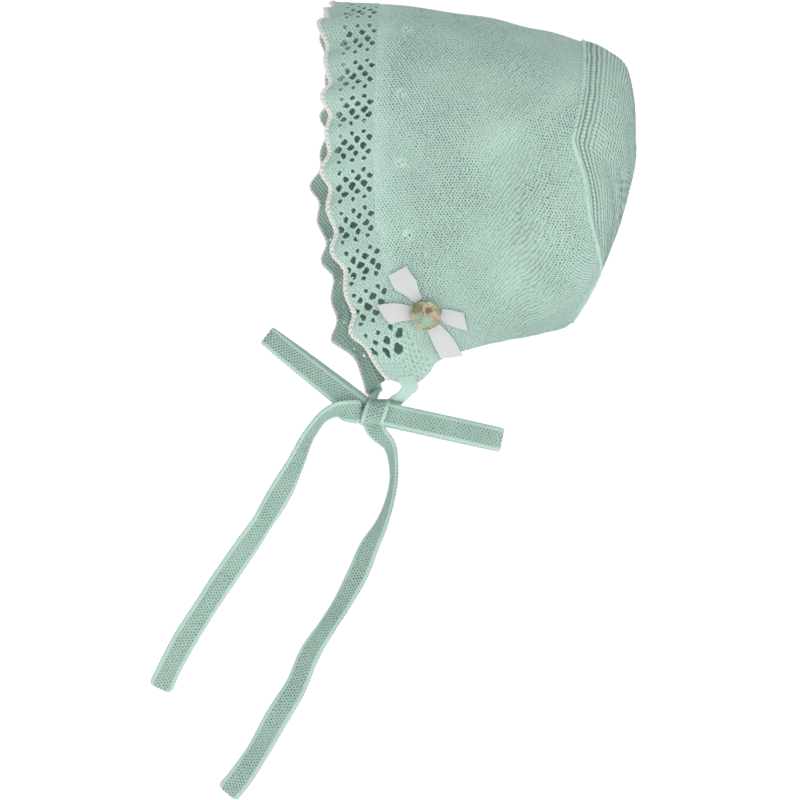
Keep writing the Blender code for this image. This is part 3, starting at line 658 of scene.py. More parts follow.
def new_material(name, roughness, sheen=0.0):
    """An empty material with its shader, and its node tree."""
    finish = bpy.data.materials.new(name)
    finish.use_nodes = True
    shader = finish.node_tree.nodes["Principled BSDF"]
    shader.inputs["Roughness"].default_value = roughness
    shader.inputs["Sheen Weight"].default_value = sheen
    shader.inputs["Sheen Roughness"].default_value = 0.5
    shader.inputs["Specular IOR Level"].default_value = 0.25
    return finish, finish.node_tree, shader


def stitch_places(tree):
    """Course, wale and relief of the knit, as the mesh holds them."""
    held = tree.nodes.new("ShaderNodeAttribute")
    held.attribute_name = "stitch"
    parts = tree.nodes.new("ShaderNodeSeparateXYZ")
    tree.links.new(held.outputs["Vector"], parts.inputs["Vector"])
    return parts.outputs


def cosine(tree, value, turns):
    """The cosine of a coordinate, with so many turns for each unit of it."""
    return maths(tree, "COSINE", maths(tree, "MULTIPLY", value, math.tau * turns))


def offset_dots(tree, course, wale):
    """Dots in offset rows, from -1 to 1, over course and wale."""
    return maths(tree, "MULTIPLY", cosine(tree, course, 1.0), cosine(tree, wale, 0.5))


def knit_gaps(tree, course, wale):
    """How deep the gaps of plain knit lie, from 0 to 1: dots in offset rows, and lines between wales."""
    drift = drifting(tree, *COURSE_DRIFT)
    course = maths(tree, "ADD", course, drift)
    sway = drifting(tree, *WALE_DRIFT)
    wale = maths(tree, "ADD", wale, sway)
    dots = offset_dots(tree, course, wale)
    dots = maths(tree, "POWER", maths(tree, "MAXIMUM", dots, 0.0), 1.1)
    uneven = drifting(tree, *GAP_UNEVENNESS, clamp=True)
    dots = maths(tree, "MULTIPLY", dots, maths(tree, "MULTIPLY_ADD", uneven, 0.75, 0.35))
    between_wales = maths(tree, "POWER", maths(tree, "ABSOLUTE", cosine(tree, wale, 0.5)), 3.0)
    return maths(tree, "MULTIPLY_ADD", between_wales, WALE_LINES, dots)


def knit_material(name, relief_part, gap_part):
    """Mint knit with painted shade in its dark gaps and light stitches, with fine fibres."""
    finish, tree, shader = new_material(name, 0.92, 0.10)
    places = stitch_places(tree)
    gaps = knit_gaps(tree, places["X"], places["Y"])
    patches = drifting(tree, *KNIT_PATCHES, clamp=True)
    gaps = maths(tree, "MULTIPLY", gaps, maths(tree, "MULTIPLY_ADD", patches, 0.45, 0.55))
    depth = maths(tree, "MULTIPLY", gaps, gap_part)
    sunk = maths(tree, "MULTIPLY", maths(tree, "SUBTRACT", 1.0, places["Z"]), relief_part)
    depth = maths(tree, "ADD", depth, sunk)
    fuzz = drifting(tree, *KNIT_FUZZ)
    height = maths(tree, "SUBTRACT", 1.0, maths(tree, "ADD", depth, fuzz), clamp=True)
    # Painted shade: the lower the knit lies, the darker its colour
    colour = ramp(tree, height, KNIT_COLOURS_AND_GAP_SHADE)
    slow = drifting(tree, *KNIT_TONE)
    put(tree, tinted(tree, colour, slow), shader.inputs["Base Color"])
    bump(tree, shader, height, KNIT_BUMP, 0.85)
    return finish


def garter_material():
    """Mint garter stitch: offset bumps, and swaying grooves between the ridges by the seam, with painted
    shade darkening the gaps and grooves.
    """
    finish, tree, shader = new_material("mint_garter_knit", 0.92, 0.10)
    places = stitch_places(tree)
    bumps = maths(tree, "MULTIPLY_ADD", noise(tree, 260.0, 1.0), 0.6, places["X"])
    ridge = maths(tree, "MULTIPLY_ADD", noise(tree, 180.0, 1.0), 0.4, places["Y"])
    uneven = drifting(tree, *GARTER_UNEVENNESS, clamp=True)
    dots = offset_dots(tree, bumps, ridge)
    dots = maths(tree, "POWER", maths(tree, "MAXIMUM", dots, 0.0), 0.9)
    dots = maths(tree, "MULTIPLY", dots, maths(tree, "MULTIPLY_ADD", uneven, 0.6, 0.40))
    swaying = maths(tree, "MULTIPLY_ADD", cosine(tree, bumps, 1.0), GROOVE_SWAY, ridge)
    grooves = maths(tree, "POWER", maths(tree, "ABSOLUTE", cosine(tree, swaying, 0.5)), 5.0)
    grooves = maths(tree, "MULTIPLY", grooves, maths(tree, "MULTIPLY", places["Z"], 0.80))
    depth = maths(tree, "MAXIMUM", maths(tree, "MULTIPLY", dots, 0.90), grooves)
    depth = maths(tree, "SUBTRACT", depth, 0.06)
    fuzz = drifting(tree, *GARTER_FUZZ)
    height = maths(tree, "SUBTRACT", 1.0, maths(tree, "ADD", depth, fuzz), clamp=True)
    # Painted shade: gaps and grooves are coloured darker the deeper they lie
    colour = ramp(tree, height, KNIT_COLOURS_AND_GAP_SHADE)
    put(tree, colour, shader.inputs["Base Color"])
    bump(tree, shader, height, GARTER_BUMP, 0.9)
    return finish


def inner_shade_material():
    """The wrong side of the knit: small purl bumps, painted dark as the shade of the hollow."""
    finish, tree, shader = new_material("mint_wrong_side_painted_shade", 0.95)
    places = stitch_places(tree)
    purls = offset_dots(tree, places["X"], places["Y"])
    height = maths(tree, "MULTIPLY_ADD", purls, 0.5, 0.5)
    colour = ramp(tree, height, ((0.0, HOLLOW_SHADE_DEEP_MINT), (0.9, HOLLOW_SHADE_MINT)))
    put(tree, colour, shader.inputs["Base Color"])
    bump(tree, shader, height, PURL_BUMP, 0.8)
    return finish


def lace_inner_shade_material():
    """The wrong side of the frill: painted dark as the shade of the hollow, with the painted shade fading
    towards its edge.
    """
    finish, tree, shader = new_material("mint_lace_wrong_side_painted_shade", 0.95)
    places = stitch_places(tree)
    purls = offset_dots(tree, places["X"], places["Y"])
    height = maths(tree, "MULTIPLY_ADD", purls, 0.35, 0.35)
    height = maths(tree, "ADD", height, maths(tree, "MULTIPLY_ADD", places["Z"], 0.90, -0.32), clamp=True)
    colour = ramp(tree, height, ((0.0, HOLLOW_SHADE_DEEP_MINT), (0.40, HOLLOW_SHADE_MINT), (0.95, LIGHT_MINT)))
    put(tree, colour, shader.inputs["Base Color"])
    bump(tree, shader, purls, PURL_BUMP, 0.8)
    return finish


def chain_material():
    """Off-white cotton of the chain edging, painted grey as shade where the twist's relief is low."""
    finish, tree, shader = new_material("white_cotton", 0.88, 0.1)
    twist = noise(tree, 2300.0, 2.0, 0.6)
    # Painted shade: grey where the twist's bump is low
    colour = ramp(tree, twist, ((0.30, (0.62, 0.63, 0.60)), (0.55, CHAIN_WHITE)))
    put(tree, colour, shader.inputs["Base Color"])
    bump(tree, shader, twist, 0.00015, 0.7)
    return finish


def satin_material():
    """Satin ribbon: a soft sheen over very fine lines."""
    finish, tree, shader = new_material("satin", 0.42, 0.2)
    shader.inputs["Specular IOR Level"].default_value = 0.4
    places = stitch_places(tree)
    lines = cosine(tree, places["X"], 46.0)
    uneven = maths(tree, "MULTIPLY_ADD", noise(tree, 900.0, 2.0), 0.5, lines)
    tone = maths(tree, "MULTIPLY_ADD", lines, 0.018, 0.985)
    put(tree, tinted(tree, (*SATIN_WHITE, 1.0), tone), shader.inputs["Base Color"])
    bump(tree, shader, uneven, 0.00004, 0.5)
    return finish


def patch(tree, places, x, y, size):
    """A ragged patch of the button round a place in button radii, from 0 outside it to 1 inside."""
    across = maths(tree, "POWER", maths(tree, "SUBTRACT", places["X"], x), 2.0)
    upward = maths(tree, "POWER", maths(tree, "SUBTRACT", places["Y"], y), 2.0)
    gap = maths(tree, "SQRT", maths(tree, "ADD", across, upward))
    ragged = maths(tree, "MULTIPLY_ADD", noise(tree, 560.0, 4.0, 1.5), 0.9, gap)
    return maths(tree, "MULTIPLY", maths(tree, "SUBTRACT", size + 0.45, ragged), 7.0, clamp=True)


def mixed(tree, share, colour, other):
    """A colour that turns into another as a share grows from 0 to 1."""
    node = tree.nodes.new("ShaderNodeMix")
    node.data_type = "RGBA"
    put(tree, share, node.inputs["Factor"])
    put(tree, colour, node.inputs["A"])
    node.inputs["B"].default_value = (*other, 1.0)
    return node.outputs["Result"]


def button_material():
    """Polished marbled plastic in ochre, brown and mint."""
    finish, tree, shader = new_material("marbled_plastic", 0.22)
    shader.inputs["Coat Weight"].default_value = 0.5
    shader.inputs["Coat Roughness"].default_value = 0.08
    shader.inputs["Specular IOR Level"].default_value = 0.5
    places = stitch_places(tree)
    swirl = noise(tree, 330.0, 4.0, 1.6)
    colour = ramp(tree, swirl, (
        (0.28, (0.16, 0.135, 0.075)), (0.42, (0.33, 0.30, 0.17)), (0.52, (0.43, 0.41, 0.25)),
        (0.66, (0.54, 0.53, 0.38)),
    ))
    for x, y, size, patch_colour in BUTTON_PATCHES:
        colour = mixed(tree, patch(tree, places, x, y, size), colour, patch_colour)
    put(tree, colour, shader.inputs["Base Color"])
    return finish


def thread_material():
    """Cream and gold sewing thread."""
    finish, tree, shader = new_material("gold_thread", 0.55, 0.1)
    put(tree, ramp(tree, noise(tree, 1500.0), ((0.3, (0.55, 0.40, 0.16)), (0.7, (0.85, 0.74, 0.52)))),
        shader.inputs["Base Color"])
    return finish


def placed(name, data):
    """A new object of the scene that holds some data."""
    item = bpy.data.objects.new(name, data)
    bpy.context.scene.collection.objects.link(item)
    return item


def make_piece(name, points, faces, finishes, replaced, stitch=None, choice=None):
    """One piece of the bonnet with its stitches, finish and the node that it stands for."""
    mesh = bpy.data.meshes.new(name)
    mesh.from_pydata(points.tolist(), [], faces)
    mesh.shade_smooth()
    mesh.set_sharp_from_angle(angle=math.radians(SHARP_ANGLE))
    if stitch is not None:
        held = mesh.attributes.new("stitch", "FLOAT_VECTOR", "POINT")
        held.data.foreach_set("vector", np.ascontiguousarray(stitch, np.float32).ravel())
    for finish in finishes:
        mesh.materials.append(finish)
    if choice is not None:
        mesh.polygons.foreach_set("material_index", np.asarray(choice, np.int32))
    mesh.update()
    piece = placed(name, mesh)
    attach(piece, "root")
    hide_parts(replaced)
    return piece


def grid_faces(numbers, turned=False):
    """The squares between the numbered points of a grid."""
    faces = np.stack((numbers[:-1, :-1], numbers[1:, :-1], numbers[1:, 1:], numbers[:-1, 1:]), axis=-1)
    faces = faces.reshape(-1, 4)
    return [tuple(face) for face in (faces[:, ::-1] if turned else faces).tolist()]


def joined_edges(fine, coarse):
    """Triangles that join a finely divided edge to a coarser one."""
    faces = []
    half = PANEL_STEP // 2
    for k in range(len(coarse) - 1):
        first = k * PANEL_STEP
        for j in range(PANEL_STEP):
            apex = coarse[k] if j < half else coarse[k + 1]
            faces.append((fine[first + j + 1], fine[first + j], apex))
        faces.append((coarse[k], coarse[k + 1], fine[first + half]))
    return faces


def backed_sheet(outer, inner):
    """Points and faces of a fine outer grid that is closed by a coarser inner one."""
    start = outer[..., 0].size
    numbers = np.arange(start).reshape(outer.shape[:2])
    few = start + np.arange(inner[..., 0].size).reshape(inner.shape[:2])
    faces = grid_faces(numbers)
    outside = len(faces)
    faces += grid_faces(few, turned=True)
    faces += joined_edges(numbers[:, 0], few[:, 0])
    faces += joined_edges(numbers[::-1, -1], few[::-1, -1])
    faces += joined_edges(numbers[-1], few[-1])
    faces += joined_edges(numbers[0, ::-1], few[0, ::-1])
    choice = np.ones(len(faces), int)
    choice[:outside] = 0
    return np.concatenate((outer.reshape(-1, 3), inner.reshape(-1, 3))), faces, choice


def make_panel(name, place, heights, stitch, finishes, replaced):
    """A knitted panel: its fine outer side with the stitches, closed by a coarser inner side."""
    along, turn = place
    few = (slice(None, None, PANEL_STEP), slice(None, None, PANEL_STEP))
    outer = lifted(along, turn, heights[0])
    inner = lifted(along[few], turn[few], heights[1][few])
    points, faces, choice = backed_sheet(outer, inner)
    stitch = np.stack(stitch, axis=-1)
    stitch = np.concatenate((stitch.reshape(-1, 3), stitch[few].reshape(-1, 3)))
    return make_piece(name, points, faces, finishes, replaced, stitch, choice)


def make_body(finish, inner_finish):
    """The plain knitted body, from the lace round to the back seam."""
    rows = 2 * REPEATS_PER_SIDE * WALES_PER_REPEAT * 2 + 1
    columns = BODY_COURSES * 2 + 1
    counts = np.linspace(-REPEATS_PER_SIDE, REPEATS_PER_SIDE, rows)
    across = np.linspace(0, 1, columns)
    turns = np.interp(np.abs(counts) / REPEATS_PER_SIDE, LACE_SHARES, LACE_TURNS)
    down = np.sign(counts) * turns / LACE_TURNS[-1]
    turn = panel_turn(down[:, None], across[None, :])
    along = panel_along(across[None, :], turn)
    course = np.broadcast_to(across * BODY_COURSES, turn.shape)
    wale = np.broadcast_to((counts * WALES_PER_REPEAT)[:, None], turn.shape)
    relief = stitch_relief(course, wale)
    height = fold_height(along, turn) * np.sin(math.pi * across) ** 0.5
    height += BODY_UNEVENNESS * unevenness(wale * WALE * 1000, course * COURSE * 1000, 26.0, 5)
    knots, pinholes = eyelet_relief(turn, skin(along, turn)[..., 1])
    height += knots * EYELET_HEIGHT - pinholes * PINHOLE_DEPTH
    heights = (height + STITCH_RELIEF * (relief * (1 - knots) - 0.5), height - WALL)
    # Beside the frill and on fold ridges the painted gap shade is lifted, so the ridges carry a painted
    # highlight; the raised eyelet clusters lose the gap shade too and their pinholes are painted dark as
    # shade
    from_lace = across * BODY_COURSES * COURSE
    shade_lifted = SMOOTH_EDGE_PART * np.exp(-(from_lace / SMOOTH_EDGE) ** 2)
    shade_lifted = shade_lifted + np.maximum(fold_height(along, turn), 0) / FOLD_LIGHT_HEIGHT
    relief = relief + shade_lifted + 2.8 * knots - 6.0 * pinholes
    piece = make_panel("knit_body", (along, turn), heights, (course, wale, relief),
                       (finish, inner_finish), "main_panel")
    return piece


def eyelet_relief(turn, y):
    """Raised clusters of the body's eyelets, and their pinholes, both from 0 to 1."""
    knots = np.zeros(turn.shape)
    pinholes = np.zeros(turn.shape)
    for degrees, place in EYELETS:
        down = (np.abs(turn) - math.radians(degrees)) * HALF_WIDTH * 1000
        backward = (y - place) * 1000
        knots += np.exp(-((backward / EYELET_BACKWARD) ** 2 + (down / EYELET_DOWNWARD) ** 2) ** 1.3)
        for hole_back, hole_down in PINHOLES:
            gap = ((backward - hole_back) ** 2 + (down - hole_down) ** 2) ** 0.5
            pinholes += np.exp(-(gap / PINHOLE) ** 2)
    return knots, np.clip(pinholes, 0, 1)


def place_on_skin(flat_angle):
    """The place along and round the body of directions from inside it, given as flat angles."""
    angle = np.linalg.norm(flat_angle, axis=-1)
    turn = np.arctan2(flat_angle[..., 0], flat_angle[..., 1])
    low = np.zeros(angle.shape)
    high = np.ones(angle.shape)
    for _ in range(26):
        middle = (low + high) / 2
        point = skin(middle, turn)
        reach = np.hypot(point[..., 0], point[..., 2] - AXIS_Z)
        beyond = np.arctan2(reach, point[..., 1]) > angle
        low = np.where(beyond, middle, low)
        high = np.where(beyond, high, middle)
    return (low + high) / 2, turn


def flat_angles(along, turn):
    """Directions from inside the body to its places, as flat angles round the back's pole."""
    point = skin(along, turn)
    angle = np.arctan2(np.hypot(point[..., 0], point[..., 2] - AXIS_Z), point[..., 1])
    return np.stack((angle * np.sin(turn), angle * np.cos(turn)), axis=-1)


def back_seam(samples):
    """The seam of the back panel from one side of the nape to the other, at equal lengths."""
    last = math.radians(SEAM_LINE[-1][0])
    turn = np.linspace(-last, last, 900)
    points = skin(along_at(line_y(SEAM_LINE, turn)), turn)
    length = lengths_along(points)
    turn = np.interp(np.linspace(0, length[-1], samples), length, turn)
    return along_at(line_y(SEAM_LINE, turn)), turn, length[-1]


def make_back(finish, inner_finish):
    """The garter-stitch crown and back: ridges that follow the seam inwards to the middle line."""
    along, turn, _ = back_seam(BACK_ROWS + 1)
    edge = flat_angles(along, turn)
    share = np.clip((np.abs(turn) - SPINE_TURN) / (math.radians(SEAM_LINE[-1][0]) - SPINE_TURN), 0, 1)
    down = -(SPINE_TOP + (SPINE_LOW - SPINE_TOP) * share ** 1.2)
    spine = np.stack((np.zeros(BACK_ROWS + 1), down), axis=-1)
    inward = np.linspace(0, 1, BACK_COLUMNS + 1)
    flat = edge[:, None, :] * (1 - inward)[None, :, None] + spine[:, None, :] * inward[None, :, None]
    along, turn = place_on_skin(flat)
    bare = skin(along, turn)
    steps = np.linalg.norm(np.diff(bare, axis=1), axis=-1)
    inwards = np.concatenate((np.zeros((BACK_ROWS + 1, 1)), np.cumsum(steps, axis=1)), axis=1)
    steps = np.linalg.norm(np.diff(bare, axis=0), axis=-1)
    sideways = np.concatenate((np.zeros((1, BACK_COLUMNS + 1)), np.cumsum(steps, axis=0)))
    sideways -= sideways[BACK_ROWS // 2]
    near_seam = np.exp(-(inwards / SEAM_RIDGES_FADE) ** 4)
    past = inwards - SEAM_RIDGES_START
    wide_part = SEAM_RIDGES * SEAM_RIDGE
    ridge = np.minimum(past, wide_part) / SEAM_RIDGE + np.maximum(past - wide_part, 0) / RIDGE
    bumps = sideways / RIDGE_BUMP
    grooves = np.abs(np.cos(math.pi * (ridge + GROOVE_SWAY * np.cos(math.tau * bumps)))) ** 4
    relief = stitch_relief(bumps, ridge) * (1 - near_seam) + (1 - grooves) * near_seam
    uneven = BACK_UNEVENNESS * unevenness(inwards * 1000, sideways * 1000, 24.0, 8)
    height = RIDGE_RELIEF * (relief - 0.6) + uneven
    piece = make_panel("garter_back", (along, turn), (height, height * 0.3 - WALL),
                       (bumps, ridge, near_seam), (finish, inner_finish), "back_panel")
    return piece


def make_seam(finish):
    """The raised smooth seam between the two panels."""
    rows, sides = 900, 10
    along, turn, length = back_seam(rows)
    normal = slopes_at(along, turn)[2]
    centre = lifted(along, turn, np.full(rows, -WELT_SUNK))
    side = np.cross(normal, unit(np.gradient(centre, axis=0)))
    places = np.linspace(0, length, rows) / RIDGE_BUMP
    angles = circle(sides)
    slant = places[:, None] + 0.35 * np.cos(angles)[None, :]
    relief = 1.9 + 0.5 * np.cos(math.tau * slant) * np.sin(angles)[None, :]
    radius = WELT_RADIUS * (0.94 + 0.03 * relief)
    spread = (np.cos(angles)[None, :, None] * side[:, None, :]
              + np.sin(angles)[None, :, None] * normal[:, None, :])
    points = (centre[:, None, :] + radius[..., None] * spread).reshape(-1, 3)
    stitch = np.stack((slant, np.full(slant.shape, 0.8), relief), axis=-1).reshape(-1, 3)
    return make_piece("seam_roll", points, tube_faces(rows, sides), (finish,),
                      "seam_welt", stitch)


def tube_faces(rows, sides, turned=False):
    """The faces of a closed tube through equal rings, capped at both ends."""
    numbers = np.arange(rows * sides).reshape(rows, sides)
    numbers = np.concatenate((numbers, numbers[:, :1]), axis=1)
    faces = np.stack((numbers[:-1, :-1], numbers[:-1, 1:], numbers[1:, 1:], numbers[1:, :-1]), axis=-1)
    faces = [tuple(face) for face in faces.reshape(-1, 4).tolist()]
    faces.append(tuple(range(sides - 1, -1, -1)))
    faces.append(tuple(range((rows - 1) * sides, rows * sides)))
    return [face[::-1] for face in faces] if turned else faces


def lace_holes():
    """The holes of the whole frill: place round and outward, radius and a turn, in metres."""
    draw = np.random.default_rng(11)
    holes = []
    for repeat in range(-REPEATS_PER_SIDE, REPEATS_PER_SIDE):
        side = 1 if repeat >= 0 else -1
        middle = repeat + 0.5
        at_chin = repeat in (-REPEATS_PER_SIDE, REPEATS_PER_SIDE - 1)
        for offset, phase, radius in HOLE_ROWS[:CHIN_HOLE_ROWS] if at_chin else HOLE_ROWS:
            for k in range(HOLES_IN_ROW):
                jitter = draw.uniform(-1, 1, 4)
                outward = HOLE_NEAREST + HOLE_STEP * (k - phase) + HOLE_OUTWARD_DRIFT * jitter[1]
                place = (middle + side * offset) * REPEAT + HOLE_ROUND_DRIFT * jitter[0]
                size = radius / 1000 * (1 + HOLE_SIZE_DRIFT * jitter[2])
                size *= 1 if side > 0 else RIGHT_HOLE_SHARE
                holes.append((place, max(outward, HOLE_LEAST), size, math.pi * jitter[3]))
    return np.array(holes)


def make_frill(finish, inner_finish):
    """The lace frill: knit that is drawn aside round every hole, and cut through there."""
    rows = 2 * REPEATS_PER_SIDE * FRILL_ROWS + 1
    counts = np.linspace(-REPEATS_PER_SIDE, REPEATS_PER_SIDE, rows)
    outward = np.linspace(1, -FRILL_OVERLAP, FRILL_COLUMNS + 1)
    width = frill_reach(counts)
    round_place = np.broadcast_to((counts * REPEAT)[:, None], (rows, FRILL_COLUMNS + 1)).copy()
    out_place = width[:, None] * outward[None, :]
    edge = np.full(round_place.shape, 1.0)
    pulled = np.zeros((*round_place.shape, 2))
    holes = lace_holes()
    for place, out, size, lean in holes:
        near = int(round((place / REPEAT + REPEATS_PER_SIDE) * FRILL_ROWS))
        rows_near = slice(max(near - 7, 0), min(near + 8, rows))
        across = round_place[rows_near] - place
        forth = out_place[rows_near] - out
        gap = np.hypot(across, forth) + 1e-9
        angle = np.arctan2(forth, across)
        rim = size * rim_shape(angle, lean)
        edge[rows_near] = np.where(gap - rim < edge[rows_near], gap - rim, edge[rows_near])
        share = np.clip((gap - rim) / (DRAWN_ASIDE - rim), 0, 1)
        shrink = np.where(gap < DRAWN_ASIDE, share * DRAWN_ASIDE / gap, 1.0) - 1
        pulled[rows_near, :, 0] += across * shrink
        pulled[rows_near, :, 1] += forth * shrink
    solid = edge[:-1, :-1] + edge[1:, :-1] + edge[1:, 1:] + edge[:-1, 1:] > 0
    round_place, out_place = snapped(round_place, out_place, solid, holes, REPEAT / FRILL_ROWS)
    wale = (round_place + pulled[..., 0]) / REPEAT * WALES_PER_REPEAT
    course = -(out_place + pulled[..., 1]) / COURSE
    near_rim = np.clip(edge, 0, 1)
    roll = np.exp(-((near_rim - RIM_ROLL) / RIM_ROLL_WIDTH) ** 2)
    relief = stitch_relief(course, wale) * 0.35 + 0.60 + 0.30 * roll
    # Each hole's rim dips a little and is painted dark as shade
    relief -= 0.7 * np.exp(-(near_rim / RIM_SHADE) ** 2)
    outward = np.clip(out_place / width[:, None], -FRILL_OVERLAP, 1)
    along, turn, height = frill_places(round_place / REPEAT, outward)
    tucked = np.clip(-outward / FRILL_OVERLAP, 0, 1)
    height = height - FRILL_TUCK * tucked
    relief_height = STITCH_RELIEF * 1.5 * (relief - 0.5) * (1 - tucked)
    outer = lifted(along, turn, height + relief_height)
    inner = lifted(along, turn, height - FRILL_WALL - 0.3 * relief_height)
    points, faces = pierced_sheet(outer, inner, solid)
    stitch = np.stack((course, wale, np.clip(relief, 0, 1.2)), axis=-1).reshape(-1, 3)
    # How far the painted shade of the frill's wrong side has faded, outward
    shade_faded = np.clip((outward - LACE_SHADE) / LACE_SHADE_FADE, 0, 1)
    wrong_side = np.stack((course, wale, shade_faded), axis=-1).reshape(-1, 3)
    choice = np.zeros(len(faces), int)
    choice[solid.sum():2 * solid.sum()] = 1
    piece = make_piece("lace_band", points, faces, (finish, inner_finish), "lace_frill",
                       np.concatenate((stitch, wrong_side)), choice)
    return piece


def rim_shape(angle, lean):
    """The uneven outline of a lace hole, as a share of its radius."""
    three_sided = 0.09 * np.cos(3 * (angle - lean))
    oval = 0.12 * np.cos(2 * (angle + 1.7 * lean))
    return 1 + three_sided + oval + 0.07 * np.cos(4 * angle)


def snapped(round_place, out_place, solid, holes, pitch):
    """The places of the frill's grid, with the corners beside each hole moved onto its rim."""
    rows, columns = round_place.shape
    kept = np.zeros((rows + 1, columns + 1), bool)
    kept[1:-1, 1:-1] = solid
    cut = np.zeros((rows + 1, columns + 1), bool)
    cut[1:-1, 1:-1] = ~solid
    beside_kept = kept[:-1, :-1] | kept[1:, :-1] | kept[:-1, 1:] | kept[1:, 1:]
    beside_cut = cut[:-1, :-1] | cut[1:, :-1] | cut[:-1, 1:] | cut[1:, 1:]
    round_place, out_place = round_place.copy(), out_place.copy()
    for i, j in np.argwhere(beside_kept & beside_cut):
        across = round_place[i, j] - holes[:, 0]
        forth = out_place[i, j] - holes[:, 1]
        gap = np.hypot(across, forth)
        rim = holes[:, 2] * rim_shape(np.arctan2(forth, across), holes[:, 3])
        k = np.argmin(np.abs(gap - rim))
        stretch = np.clip(rim[k] / gap[k], 1 - pitch / gap[k], 1 + pitch / gap[k])
        round_place[i, j] = holes[k, 0] + across[k] * stretch
        out_place[i, j] = holes[k, 1] + forth[k] * stretch
    return round_place, out_place


def pierced_sheet(outer, inner, solid):
    """Points and faces of a closed sheet between two grids, with some squares cut through."""
    rows, columns = outer.shape[:2]
    half = rows * columns
    numbers = np.arange(half).reshape(rows, columns)
    a, b = numbers[:-1, :-1], numbers[1:, :-1]
    c, d = numbers[1:, 1:], numbers[:-1, 1:]
    faces = np.stack((a[solid], b[solid], c[solid], d[solid]), axis=-1).tolist()
    faces += (np.stack((d[solid], c[solid], b[solid], a[solid]), axis=-1) + half).tolist()
    framed = np.zeros((rows + 1, columns + 1), bool)
    framed[1:-1, 1:-1] = solid
    beside = (
        (framed[1:-1, :-2], a, b), (framed[2:, 1:-1], b, c),
        (framed[1:-1, 2:], c, d), (framed[:-2, 1:-1], d, a),
    )
    for neighbour, start, end in beside:
        open_edge = solid & ~neighbour
        start, end = start[open_edge], end[open_edge]
        faces += np.stack((end, start, start + half, end + half), axis=-1).tolist()
    return np.concatenate((outer.reshape(-1, 3), inner.reshape(-1, 3))), faces


def make_edging(finish):
    """The white crocheted chain along the frill's scallops."""
    counts = np.linspace(-REPEATS_PER_SIDE, REPEATS_PER_SIDE, 4000)
    along, turn, height = frill_places(counts, 1.0)
    normal = slopes_at(along, turn)[2]
    path = lifted(along, turn, height - FRILL_WALL / 2)
    run = np.gradient(path, axis=0)
    steps = np.linalg.norm(run, axis=-1)
    length = np.cumsum(steps) - steps[0]
    run /= steps[:, None]
    side = np.cross(normal, run)
    side = unit(side * -np.sign(side[:, 1:2]))
    links = int(length[-1] / LINK_PITCH)
    stations, sides = 14, 6
    share = circle(stations)
    angles = circle(sides)
    lengthwise = -np.cos(share) * LINK_LENGTH / 2
    crosswise = np.sin(share) * LINK_WIDTH / 2 * (0.75 - 0.25 * np.cos(share))
    lift = LINK_LIFT * np.cos(share)
    points, faces = [], []
    for link in range(links):
        at = int(np.searchsorted(length, (link + 0.5) * LINK_PITCH))
        on_right = counts[at] < 0
        middle = path[at] + side[at] * (RIGHT_LINK_SHIFT if on_right else LINK_SHIFT)
        middle = middle + normal[at] * (RIGHT_LINK_RAISE if on_right else 0.0)
        ring = (middle + lengthwise[:, None] * run[at] + crosswise[:, None] * side[at]
                + lift[:, None] * normal[at])
        forward = unit(np.roll(ring, -1, axis=0) - np.roll(ring, 1, axis=0))
        beside = np.cross(normal[at], forward)
        spread = (np.cos(angles)[None, :, None] * beside[:, None, :]
                  + np.sin(angles)[None, :, None] * np.cross(forward, beside)[:, None, :])
        start = len(points) * stations * sides
        points.append(ring[:, None, :] + LINK_YARN * spread)
        numbers = start + np.arange(stations * sides).reshape(stations, sides)
        after = np.roll(numbers, -1, axis=0)
        faces.append(np.stack((numbers, np.roll(numbers, -1, axis=1), np.roll(after, -1, axis=1), after),
                              axis=-1).reshape(-1, 4))
    points = np.concatenate(points).reshape(-1, 3)
    return make_piece("chain_edging", points, np.concatenate(faces).tolist(), (finish,),
                      "edging_braid")


def eased(points, count):
    """A smooth path through a few points."""
    points = np.array(points, float)
    knots = lengths_along(points[:, :3])
    return smooth(knots, points, np.linspace(0, knots[-1], count))


